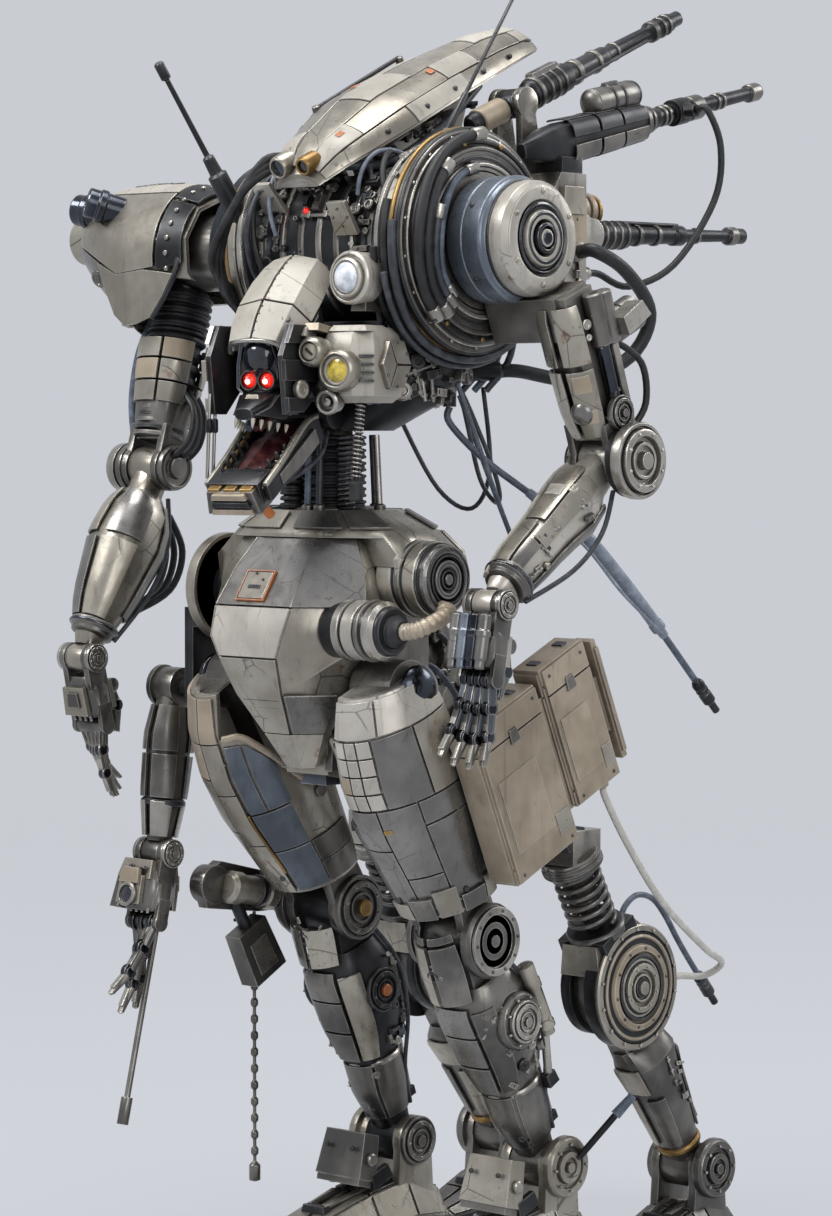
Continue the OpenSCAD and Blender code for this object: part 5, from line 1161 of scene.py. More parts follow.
def trunk():
    """Ribs, bands, fittings, pipes and cables of the trunk."""
    body = "torso"
    for x in (-36, -24, -12, 0, 12, 24, 36):
        turned(part(body, "gunmetal" if x % 24 else "steel"), BARREL, (x - 2, 0, 0), (1, 0, 0),
               [(0, 42), (0.8, 43.6 if abs(x) > 20 else 42.8), (3.2, 43.6 if abs(x) > 20 else 42.8), (4, 42)],
               64)
    for x, sign in ((57, 1), (-44, -1)):
        bolts(part(body, "steel"), BARREL, (x, 0, 0), (sign, 0, 0), 47, 20, 1.1)
    for side in (-1, 1):
        turned(part(body, "steel"), BARREL, (side * 45, 0, 0), (side, 0, 0),
               [(0, 50), (0.8, 51), (3, 51), (3.8, 50)], 64)
        turned(part(body, "sand"), BARREL, (side * 50, 0, 0), (side, 0, 0),
               [(0, 50), (0.6, 50.8), (4.4, 50.8), (5, 50)], 64)
    # The middle of the front stays clear for the brow's tilt
    for x0, x1, a0, a1, count in ((-40, -23, -200, -40, 36), (24, 40, -200, -40, 36),
            (-22, 22, -76, -40, 20)):
        clutter(body, ROBOT, around_x(x0, x1, BARREL_Y, BARREL_Z, BARREL_RADIUS, a0, a1), count, 5)
    clutter(body, ROBOT, around_x(-40, 30, BARREL_Y, BARREL_Z, BARREL_RADIUS, 60, 160), 40, 5)
    clutter(body, ROBOT, around_x(45, 57, BARREL_Y, BARREL_Z, 50, -180, 40), 30, 3.4)
    # Chest and its pipes
    chest = [(432, 0, 6, 26, 21), (446, 0, 22, 42, 30), (464, 0, 30, 50, 36), (486, 0, 32, 50, 40)]
    for a0, a1, count in ((-170, -124, 34), (-56, -10, 34), (-10, 190, 70)):
        clutter(body, ROBOT, on_form(chest, 446, 482, a0, a1, 0.8), count, 5)
    for i, (x, tone) in enumerate(((46, "cable"), (38, "blue_cable"), (30, "cable"), (-34, "cable"),
            (-42, "blue_cable"))):
        s = 1 if x > 0 else -1
        hose(part(body, tone), ROBOT,
             [(0.7 * x, -4, 446), (x, -8, 462), (x + s * 5, -4, 486), (x + s * 2, -12, 512),
              (0.9 * x, -6, 548)], 2.0 + 0.4 * (i % 2))
        hose(part(body, tone), ROBOT,
             [(x, 62, 452), (x + s * 6, 74, 470), (x + s * 3, 80, 500), (0.9 * x, 76, 524)], 1.8)
    # Plates between the collar and the head
    for x, y, z, tilt, tone in ((-30, -16, 548, 40, "pale"), (-40, -10, 520, 10, "sand"),
            (-36, -12, 494, -14, "pale"), (24, -20, 536, 30, "sand")):
        box(part(body, tone), ROBOT, (x, y, z), (15, 3, 18), tilt=tilt, taper=0.8)
        bolts(part(body, "iron"), shift(ROBOT, x, y - 1.6, z, tilt=tilt), (0, 0, 0), (0, -1, 0), 4.6, 4, 0.7)
    for k in range(3):
        hose(part(body, "rubber"), ROBOT,
             [(-57, -6, 492 + 4 * k), (-54, -20 - 3 * k, 500 + 4 * k), (-44, -36 - 3 * k, 520),
              (-28, -40, 546), (-16, -33, 559 + 3 * k), (-12, -20, 563 + 2 * k)], 2.2)
    # Small red ball with a painted glow.
    ball(part(body, "red_glass"), ROBOT, (-8, -12, 541), 1.8)
    # Thin cables slung over the front of the barrel, beside the brow: two places along it, two angles above
    # level, bulge, radius and finish
    for x0, x1, top, low, bulge, thick, tone in (
            (-43, -30, 70, -35, 8, 1.7, "rubber"), (-38, -42, 80, -20, 6, 1.3, "cable"),
            (-32, -26, 75, 5, 10, 1.2, "pale_cable"), (-28, -40, 65, -30, 12, 1.4, "cable"),
            (26, 44, 78, 28, 6, 1.6, "rubber"), (34, 24, 72, 30, 9, 1.2, "pale_cable"),
            (12, 30, 80, 40, 6, 1.3, "cable")):
        run = []
        for k in range(7):
            u = k / 6
            angle = math.radians(top + (low - top) * u)
            reach = BARREL_RADIUS + 2 + bulge * math.sin(math.pi * u)
            run.append((x0 + (x1 - x0) * u, BARREL_Y - reach * math.cos(angle),
                        BARREL_Z + reach * math.sin(angle)))
        hose(part(body, tone), ROBOT, run, thick)


trunk()

# Back shell

SHELL_TOP = shift(ROBOT, 0, -28, 556, tilt=24)
SHELL = shift(SHELL_TOP, tilt=-90)
SHELL_FORM = [(0, 0, 6, 15, 8), (14, 0, 3, 25, 16), (54, 0, 0, 36, 22), (100, 0, 0, 31, 22),
              (150, 0, 1, 24, 20), (176, 0, 2, 18, 16), (184, 0, 3, 13, 11)]


def back_shell():
    """Plates, studs and lens pods of the long shell, and the workings under it."""
    body = "torso"
    columns = [(192, 228, (3, 38, 88, 128, 183)), (228, 262, (3, 22, 66, 112, 152, 183)),
               (262, 296, (3, 50, 84, 140, 183)), (296, 324, (3, 30, 98, 126, 168, 183)),
               (324, 348, (3, 58, 108, 183))]
    for i, (a0, a1, breaks) in enumerate(columns):
        for k, (low, high) in enumerate(zip(breaks, breaks[1:])):
            tone = "tan" if (i, k) == (1, 4) else ("sand", "cream")[(i + k) % 2]
            plate(part(body, tone), SHELL, SHELL_FORM, low, high, a0, a1, gap=0.3,
                  thick=1.3 + 0.5 * ((i + k) % 2), steps=6)
    for z, a in ((66, 250), (92, 300), (20, 300)):
        plate(part(body, "orange"), SHELL, SHELL_FORM, z, z + 5, a, a + 9, thick=2.2)
    for z in (40, 70, 96, 124, 150):
        for a in (204, 336):
            stud(part(body, "iron"), SHELL, SHELL_FORM, z, a)
    # Lens pods at the front edge
    for x, r, tone in ((-8, 6, "sand"), (9, 5, "brass")):
        turned(part(body, tone), SHELL_TOP, (x, 8, 6), (0, -1, 0),
               [(0, r), (9, r), (10.5, r - 0.8), (10.5, r - 1.8), (7, r - 2)], 28)
        turned(part(body, "dark_glass"), SHELL_TOP, (x, 0, 6), (0, -1, 0),
               [(0, r - 1.6), (1, r - 2), (1.8, 0.1)], 24)
    rod(part(body, "iron"), SHELL_TOP, (-22, 50, 19), (-14, 110, 24), 1.2)
    for x, y, z in ((-22, 50, 18), (-14, 110, 22)):
        turned(part(body, "gunmetal"), SHELL_TOP, (x, y, z - 1), (0, 0, 1),
               [(0, 2.2), (3, 2.2), (3.6, 1.4)], 12)
    # Workings under the shell
    clutter(body, SHELL_TOP, on_flat((-24, 20, -4), (48, 0, 0), (0, 100, 0), (0, 0, -1)), 60, 6)
    for s in (-1, 1):
        hose(part(body, "cable"), SHELL_TOP,
             [(s * 20, 14, 0), (s * 28, 40, -8), (s * 24, 90, -6), (s * 16, 130, 0)], 2.4)
        rod(part(body, "gunmetal"), SHELL_TOP, (s * 14, 30, -4), (s * 12, 140, 2), 3.2)


back_shell()

# Guns


def gun_frame(place, slope):
    """Frame of a gun, whose barrel runs along its +Y."""
    return shift(ROBOT, *place, tilt=slope)


def rings(bm, m, row):
    """Rings about +Y: place, width and radius."""
    for y, wide, r in row:
        turned(bm, m, (0, y, 0), (0, 1, 0), [(0, r - 0.6), (0.4, r), (wide - 0.4, r), (wide, r - 0.6)], 28)


def guns():
    """Rings, cans and rods of the three guns, and their mount."""
    high = gun_frame((38, 92, 598), 22)
    mid = gun_frame((60, 98, 577), 12.6)
    low = gun_frame((58, 121, 532), 2)
    rings(part("upper_gun", "gunmetal"), high,
          [(16, 3, 8.4), (24, 2, 8.2), (30, 2, 8.2), (36, 2, 8.2), (50, 4, 6.8), (68, 3, 6.4), (86, 2, 5.2),
           (120, 4, 5.8), (128, 2, 5.8), (133, 2, 5.8)])
    rings(part("upper_gun", "tan"), high, [(-30, 20, 6.6)])
    box(part("upper_gun", "gunmetal"), high, (0, 28, 8.6), (6, 24, 3.4), taper=0.85)
    rod(part("upper_gun", "iron"), high, (5.4, 42, -3), (4.2, 112, -2), 1.1)
    body = "torso"
    for y0, y1, r in ((4, 26, 11.4), (27, 46, 11), (47, 68, 10.2)):
        form = [(y0, 0, 0, r, r + 0.4), (y1, 0, 0, r - 0.7, r - 0.3)]
        for a0, a1 in ((-60, -2), (2, 60), (62, 118), (-118, -62)):
            plate(part(body, "gunmetal" if a0 == 2 else "iron"), shift(mid, tilt=-90), form, y0, y1, a0, a1,
                  thick=0.9, p=0.6, lift=-0.8)
    rings(part(body, "gunmetal"), mid,
          [(70, 3, 8.6), (76, 2, 7.4), (88, 2, 5.6), (92, 2, 5.6), (113, 9, 6.6), (136, 2, 4.6),
           (141, 2, 4.6), (167, 8, 5.0)])
    can = shift(mid, 0, 34, 15)
    turned(part(body, "gunmetal"), can, (0, -3, 0), (0, 1, 0),
           [(0, 3), (1, 5.5), (3, 7), (3.2, 7.6), (10, 7.6), (10.4, 7.2), (24, 7.2), (24.4, 7.6), (34, 7.6),
            (36, 6.6), (39, 4.4), (40, 0.1)], 36)
    rings(part(body, "iron"), can, [(12, 2, 7.9), (20, 2, 7.9)])
    box(part(body, "iron"), can, (0, 17, 7.4), (4, 12, 3), taper=0.8)
    rings(part("lower_gun", "gunmetal"), low,
          [(14, 2, 7.6), (20, 2, 7.6), (26, 2, 7.6), (32, 2, 7.6), (44, 3, 5.8), (60, 3, 5.6), (96, 2, 4.4),
           (125, 6, 5.0)])
    rod(part("lower_gun", "iron"), low, (0, 30, 6.4), (0, 82, 5.2), 1.2)
    # Mount: nozzle, can with an orange ring, and blocks
    nozzle, tank = shift(ROBOT, 36, 112, 546), shift(ROBOT, 34, 112, 522)
    rings(part(body, "tan"), nozzle, [(3 + 6.5 * i, 4.2, 10.2) for i in range(6)])
    rings(part(body, "brass"), nozzle, [(42, 2.4, 9.4)])
    rings(part(body, "iron"), tank, [(2, 16, 8.8)])
    rings(part(body, "orange"), tank, [(18, 2.4, 9.0)])
    box(part(body, "tan"), ROBOT, (71, 98, 534), (4, 22, 30), taper=1)
    box(part(body, "sand"), ROBOT, (72, 98, 548), (5, 18, 14), taper=0.85)
    box(part(body, "sand"), ROBOT, (48, 114, 516), (34, 5, 14), taper=0.9)
    clutter(body, ROBOT, on_flat((28, 112.4, 508), (40, 0, 0), (0, 0, 50), (0, 1, 0)), 14, 4)
    clutter(body, ROBOT, on_flat((70.4, 88, 508), (0, 22, 0), (0, 0, 46), (1, 0, 0)), 14, 4)
    clutter(body, ROBOT, on_flat((-32, 88.4, 508), (60, 0, 0), (0, 0, 40), (0, 1, 0)), 30, 5)


guns()

# Head, in the robot's places before it is turned about the neck

NECK, JAW_HINGE, JAW_DROP, JAW_REACH = Vector((0, -18, 470)), (0, -24, 440), 31, 72
head_axis = next(Vector(j["axis"]) for j in frame["joints"] if j["name"] == "head_pitch")
HEAD = (ROBOT @ Matrix.Translation(NECK) @ Matrix.Rotation(math.atan2(head_axis.y, head_axis.x), 4, "Z")
        @ Matrix.Translation(-NECK))
# Frame along the forehead, and its arch a little above the CAD's
BROW = shift(HEAD, 0, -61, 475, tilt=43) @ Matrix.Rotation(-math.pi / 2, 4, "X")
BROW_FORM = [(-7, 0, 2.6, 16, 9.4), (8, 0, 2, 19, 14), (34, 0, 2, 18, 15.2), (48, 0, 2, 16, 13),
             (57, 0, 3, 12, 9.4)]
EYE = (5, -64, 456.4)
SKULL_MIDDLE = (0, -40, 460)


def ring_box(bm, m, outline, levels):
    """Solid over an outline in X and Y, scaled about its middle at each level of height and scale."""
    cx = sum(p[0] for p in outline) / len(outline)
    cy = sum(p[1] for p in outline) / len(outline)
    faces_of(bm, [[m @ Vector((cx + (x - cx) * k, cy + (y - cy) * k, z)) for x, y in outline]
                  for z, k in levels])


def tooth(bm, m, foot, tip, r):
    """Fang that narrows to its tip."""
    foot, tip = Vector(foot), Vector(tip)
    reach = (tip - foot).length
    turned(bm, m, foot, tip - foot,
           [(d * reach, k * r) for d, k in ((0, 1), (0.35, 0.9), (0.7, 0.55), (1, 0.08))], 10)


def forehead():
    """Arched plates of the brow, with rivets along the ridge."""
    body = "head"
    for s in (-1, 1):
        for heights in ((-6.6, 4, 14), (14.6, 30, 42, 50)):
            grid = []
            for z in heights:
                side, ridge = section(BROW_FORM, z, 0), section(BROW_FORM, z, 270)
                half, deep, mid = side.x, side.y - ridge.y, side.y
                grid.append([(0.25 * s, mid - 1.1 * deep, z), (s * 0.78 * half, mid - 0.86 * deep, z),
                             (s * 1.05 * half, mid - 0.05 * deep, z)])
            patch(part(body, "cream"), BROW, grid, gap=0.2, thick=1.2, inside=(0, 6, 25))
    for i in range(14):
        p = section(BROW_FORM, -3 + 4.2 * i, 273, 1.0) * 1.06
        turned(part(body, "iron"), BROW, p, (0, -1, 0), [(0, 0.55), (2.0, 0.55), (2.3, 0.3)], 8)
    lip = [section(BROW_FORM, -6.6, a, 0.8) for a in range(186, 356, 12)]
    hose(part(body, "steel"), BROW, lip, 1.3, sides=10, steps=2)
    hole = section(BROW_FORM, 6, 314, 0.8)
    turned(part(body, "iron"), BROW, hole, (0.5, -1, 0), [(0, 2.2), (1.8, 2.2), (2, 1.6), (0.4, 1.4)], 16)


def mask():
    """Dark face under the brow: dome, eyes, cheek plates and muzzle."""
    body = "head"
    ball(part(body, "dark_glass"), HEAD, (0, -60, 468), 10.5, 28)
    for s in (-1, 1):
        eye = Vector((s * EYE[0], EYE[1], EYE[2]))
        turned(part(body, "iron"), HEAD, eye, (0, -1, 0),
               [(-3, 5.6), (1.4, 5.4), (2.4, 4.9), (2.4, 4.2), (0, 4.1)], 24)
        # Red eye with a painted glow, and a small white-hot ball before it as a painted highlight.
        ball(part(body, "red_glass"), HEAD, eye + Vector((0, -1.4, 0)), 3.0, 20)
        ball(part(body, "hot_glass"), HEAD, eye + Vector((0.4, -3.4, -0.5)), 1.5, 12)
        patch(part(body, "chrome"), HEAD,
              [[(s * 7, -68, 476), (s * 17, -58, 474)], [(s * 10.5, -66, 464), (s * 18, -54, 462)],
               [(s * 12, -64, 452), (s * 18, -50, 450)]], lift=-0.6, thick=2, inside=SKULL_MIDDLE)
        patch(part(body, "gunmetal"), HEAD,
              [[(s * 9, -69, 478), (s * 15, -63, 477)], [(s * 11, -67, 470), (s * 16, -60, 468)]], lift=1.2,
              thick=1.4, inside=SKULL_MIDDLE)
        patch(part(body, "iron"), HEAD,
              [[(s * 10, -64, 450), (s * 12, -48, 448)], [(s * 8.6, -70, 444), (s * 10.4, -51, 442)],
               [(s * 5, -78, 440), (s * 9.4, -58, 437)]], lift=-0.6, thick=2.2, inside=(0, -50, 452))
        for i in range(5):
            tooth(part(body, "bone"), HEAD, (s * (4.6 + 1.7 * i), -77 + 4.8 * i, 438 - 0.8 * i),
                  (s * (5 + 1.7 * i), -78.5 + 4.8 * i, 433 - 0.5 * i), 1.1)
        rod(part(body, "steel"), HEAD, (s * 17, -44, 462), (s * 14, -60, 440), 1.4)
        # Hood plates at the side of the face
        rows = [(483, -53, -71), (474, -51, -76), (466, -49, -79), (456, -48, -78), (448, -52, -76),
                (441, -62, -75)]
        for (z1, back1, front1), (z0, back0, front0) in zip(rows[::2], rows[1::2]):
            slab(part(body, "sand" if s < 0 else "iron"), HEAD,
                 [(back0, z0), (back1, z1), (front1, z1), (front0, z0)], s * 21.4, s * 24)
        turned(part(body, "sand"), HEAD, (s * 23.6, -66, 452), (s, -0.2, 0),
               [(0, 4.6), (2.4, 4.6), (3.2, 3.8), (3.2, 2.4), (2, 2.2)], 20)
    box(part(body, "bone"), HEAD, (0, -69.6, 447), (9, 4, 4.6), tilt=-12, taper=0.7)
    for k, tone in enumerate(("blue_cable", "flesh", "flesh")):
        hose(part(body, tone), HEAD,
             [(-5 + 5 * k, -52, 444), (-5 + 5 * k, -62, 439), (-3 + 3 * k, -69, 433)], 2.0)
    for y in (-70.5, -75.5):
        rod(part(body, "steel"), HEAD, (-21.2, y, 450), (-21.2, y - 2.6, 409), 0.9)
        turned(part(body, "iron"), HEAD, (-21.2, y - 0.8, 438), (0, 0, -1),
               [(0, 1.2), (1, 1.7), (6, 1.7), (7, 1.2)], 12)


def cheek():
    """Lens housing at the left of the face: lens in rings, disc, top panel, side plate and sprung rod."""
    body = "head"
    lens_at, disc_at = (41, -54, 461), (28.7, -58, 470)
    side_y, side_z, side_reach = -32, 464, 14
    outline = [(23, -46), (29, -54), (46, -55), (55, -48), (57, -33), (55, -20), (46, -15), (23, -16)]
    ring_box(part(body, "cream"), HEAD, outline,
             [(445.5, 0.72), (449, 0.94), (460, 1), (472, 1), (479, 0.86), (482, 0.7)])
    box(part(body, "cream"), HEAD, (42, -41, 481.4), (22, 22, 3), taper=0.8)
    box(part(body, "tan"), HEAD, (27, -52, 481), (9, 18, 4), tilt=-8, taper=0.85)
    box(part(body, "cream"), HEAD, (23, -58, 478), (6, 12, 5), tilt=-20, taper=0.8)
    for place, r in ((lens_at, 10.4), (disc_at, 7.4)):
        turned(part(body, "sand"), HEAD, place, (0, -1, 0),
               [(0, r), (5, r), (7, r - 0.8), (8, r - 2), (8, r - 2.6), (5, r - 3)], 40)
        turned(part(body, "gunmetal"), HEAD, place, (0, -1, 0),
               [(3, r - 2.6), (6.2, r - 2.9), (6.2, r - 3.9), (4.6, r - 4.2)], 36)
    turned(part(body, "yellow_glass"), HEAD, lens_at, (0, -1, 0),
           [(4, 6.4), (5.6, 5.8), (6.8, 3), (7, 0.1)], 32)
    turned(part(body, "bone"), HEAD, disc_at, (0, -1, 0), [(3, 4.4), (6.6, 4), (7, 2.8), (7, 0.1)], 28)
    box(part(body, "iron"), HEAD, (28.7, -65, 470), (5, 1, 1.2), roll=40)
    corner = [(side_y + side_reach * math.cos(math.radians(60 * i)),
               side_z + side_reach * math.sin(math.radians(60 * i))) for i in range(6)]
    for i in range(3):
        kite = [(side_y, side_z), corner[2 * i], corner[2 * i + 1], corner[(2 * i + 2) % 6]]
        facet(part(body, "sand"), HEAD, [(56, y, z) for y, z in kite], gap=0.5, lift=-0.5, thick=3,
              inside=(40, side_y, side_z))
    bolts(part(body, "iron"), HEAD, (58.4, side_y, side_z), (1, 0, 0), 10.6, 6, 0.8)
    for k in range(4):
        box(part(body, "iron"), HEAD, (52.6, -51, 456 + 4 * k), (7, 2, 1.4), yaw=40)
    turned(part(body, "steel"), HEAD, (33, -50, 447), (0, -1, -0.2),
           [(0, 6.5), (6, 6.5), (7, 5.6), (7, 4.4), (4, 4), (4, 2.6), (6, 2), (6.4, 0.1)], 30)
    rod(part(body, "iron"), HEAD, (46, -46, 452), (45, -49, 402), 1.5)
    coil = [(46 - t + 2.1 * math.cos(110 * t), -46 - 3 * t + 2.1 * math.sin(110 * t), 446 - 37 * t)
            for t in (i / 240 for i in range(241))]
    hose(part(body, "steel"), HEAD, coil, 0.55, sides=6, steps=1)
    turned(part(body, "rubber"), HEAD, (45, -48.6, 408), (0, 0, -1),
           [(0, 2.6), (1, 3.4), (9, 3.4), (10, 2.4)], 18)
    clutter(body, HEAD, on_flat((22.5, -50, 448), (0, 34, 0), (0, 0, 30), (-1, 0, 0)), 8, 3)


def lower_jaw():
    """Side plates, crest, teeth, chin and lining of the jaw."""
    body = "lower_jaw"
    m = shift(HEAD, *JAW_HINGE, tilt=JAW_DROP)
    side = [(-14, -5), (-13, 7), (-24, 9), (-48, 5), (2 - JAW_REACH, 2.6), (2 - JAW_REACH, -6), (-40, -7)]
    for s in (-1, 1):
        slab(part(body, "iron"), m, side, s * 15.4, s * 17.6)
        crest = [(s * 16.5, y, z) for y, z in side[1:5]]
        hose(part(body, "sand"), m, crest, 1.7, sides=8)
        hose(part(body, "brass"), m, [(x - s * 2.6, y, z - 1.6) for x, y, z in crest], 1.1, sides=8)
        patch(part(body, "gunmetal"), m,
              [[(s * 17.4, -20, -4), (s * 17.4, -20, 5)], [(s * 17.6, -38, -5), (s * 17.6, -38, 4)],
               [(s * 16.4, -58, -5), (s * 16.4, -58, 1.4)]], lift=0.2, thick=1.6, inside=(0, -40, 0))
        for i in range(7):
            t = 0.3 + 0.1 * i
            x = s * (15.6 - 3 * t * t)
            tooth(part(body, "bone"), m, (x, -JAW_REACH * t, 7 - 6 * t),
                  (x - s, -JAW_REACH * t - 1.5, 10.8 - 7.6 * t), 1.1)
        hose(part(body, "cable"), m,
             [(s * 15, -6, -6), (s * 19, -22, -9), (s * 17, -40, -9), (s * 12, -56, -7)], 1.3)
    box(part(body, "gunmetal"), m, (0, -JAW_REACH, -3), (30, 12, 12), taper=0.86)
    for k in range(3):
        box(part(body, "iron" if k % 2 else "tan"), m, (0, -JAW_REACH - 6.2, -7 + 4 * k),
            (24 - 2 * k, 3, 3), taper=0.9)
    for x in (-9, 0, 9):
        box(part(body, "brass"), m, (x, -JAW_REACH - 0.6, 3.6), (7, 9, 1.4), taper=0.9)
    patch(part(body, "flesh"), m,
          [[(-9, -16, 1), (0, -16, 3), (9, -16, 1)], [(-10, -34, 2), (0, -35, 5), (10, -34, 2)],
           [(-7, -56, 0), (0, -58, 3), (7, -56, 0)]], lift=-1, thick=3, inside=(0, -20, -30))
    rod(part(body, "orange"), m, (9, 4 - JAW_REACH, -9), (10, 8 - JAW_REACH, -18), 2.4)
    turned(part(body, "iron"), m, (9, 2 - JAW_REACH, -6), (0.1, 0.4, -1), [(0, 3), (4, 3), (5, 2)], 14)


forehead()
mask()
cheek()
lower_jaw()

# Lamp on the chest
LAMP = shift(ROBOT, 41, -32, 506)
turned(part("torso", "pale"), LAMP, (0, 2, 0), (0, -1, 0),
       [(-14, 10.6), (-3, 10.6), (0, 13), (3, 13), (4.2, 12.2), (4.2, 11.2), (3, 10.8), (3, 10), (5.6, 9.6),
        (6.2, 8.4), (5, 7.8)], 48)
turned(part("torso", "white_glass"), LAMP, (0, 2, 0), (0, -1, 0),
       [(3, 8), (6, 7.4), (8.4, 5), (9.6, 2.4), (9.8, 0.1)], 40)
turned(part("torso", "tan"), LAMP, (0, 8, 0), (0, -1, 0), [(0, 11.4), (1, 12), (3, 12), (4, 11.4)], 40)
box(part("torso", "gunmetal"), LAMP, (0, 12, -12), (10, 14, 8), taper=0.8)

# Right shoulder pod

POD = limb("right_shoulder", "right_elbow", -1)
POD_FORM = [(-24, 0, 0, 29, 29), (-6, 2, 0, 38, 34), (20, 4, 0, 41, 34), (50, -6, 0, 30, 27),
            (66, -10, 0, 22, 20)]


def shoulder_pod():
    """Smooth hood of few large plates, a bolted inner band, and cameras at its outer end."""
    body = "right_upper_arm"
    m = POD @ Matrix.Rotation(math.pi / 2, 4, "Y")
    for a0, a1 in ((130, 178), (182, 230), (232, 296)):
        plate(part(body, "iron"), m, POD_FORM, -23, -8, a0, a1, gap=0.4, thick=1.6)
    # The top plate is cream, lighter than the sand plates beside it: painted light from above.
    plates(body, m, POD_FORM,
           ((-7, 64, 74, 150, "sand"), (-7, 64, 151, 222, "cream"), (-7, 64, 223, 292, "sand"),
            (20, 64, 293, 338, "silver"), (20, 64, 339, 384, "sand"), (20, 64, 26, 72, "sand")), gap=0.25,
           thick=1.2, steps=8)
    for a in range(140, 300, 13):
        stud(part(body, "steel"), m, POD_FORM, -15, a)
    seam = [section(POD_FORM, 4 + 5 * i, 196 + 5 * (i % 2), 1.0) * 1.035 for i in range(8)]
    hose(part(body, "iron"), m, seam, 0.7, sides=6, steps=3)
    out = section(POD_FORM, 44, 312)
    turned(part(body, "gunmetal"), m, out, (out.x, out.y, 0),
           [(0, 5), (2, 5), (2.4, 4.2), (2.4, 3.4), (1.6, 3)], 24)
    plate(part(body, "gunmetal"), m, POD_FORM, 26, 34, 304, 318, lift=1.2, thick=1.2)
    # Skirt below the front plate
    patch(part(body, "sand"), POD, [[(-20, -28.5, -19), (0, -31.5, -17), (20, -31.5, -19), (40, -28, -11)],
                                    [(-14, -27.5, -31), (1, -28.6, -31), (17, -28.4, -32), (31, -27, -26)],
                                    [(-6, -26, -42), (4, -25.4, -45), (13, -25, -46), (22, -25.6, -40)]],
          gap=0.2, lift=0, thick=1.6, inside=(10, 0, -24))
    hose(part(body, "iron"), POD, [(-21, -28, -8), (-20, -28.5, -19), (-14, -27.5, -31), (-6, -26, -42)],
         1.6, sides=8)
    # Camera barrels in a dark socket
    turned(part(body, "iron"), POD, (54, -4, 12), (1, -0.1, 0.1), [(0, 19), (9, 18), (10, 17), (10, 12)], 32)
    for place, way, r in (((50, -19, 18), (1, -0.25, 0.12), 8.4), ((33, -24, 17), (0.6, -0.8, 0.1), 8),
                          ((58, 6, 10), (1, -0.1, 0), 7)):
        turned(part(body, "chrome"), POD, place, way,
               [(0, r), (9, r), (10, r + 1), (13, r + 1), (14, r), (19, r), (20, r - 0.8), (20, r - 2),
                (12, r - 2.4)], 32)
        tip = Vector(place) + Vector(way).normalized() * 13
        turned(part(body, "dark_glass"), POD, tip, way, [(0, r - 2.2), (1.4, r - 3), (2.4, 0.1)], 28)
    # Leaf fin under the pod
    slab(part(body, "gunmetal"), POD, [(-12, -24), (4, -24), (2, -34), (-4, -40), (-10, -34)], 33, 37)
    box(part(body, "tan"), POD, (35, -4, -38), (4.6, 6, 4))
    turned(part("torso", "chrome"), BARREL, (-58, 0, 0), (-1, 0, 0),
           [(0, 43), (5, 46), (11, 45.4), (16, 40), (18, 38.4), (22, 38), (25, 35)], 64)
    turned(part("torso", "brass"), BARREL, (-58, 0, 0), (-1, 0, 0), [(0, 46), (1, 47), (3, 47), (4, 46)], 64)


shoulder_pod()

# Left shoulder


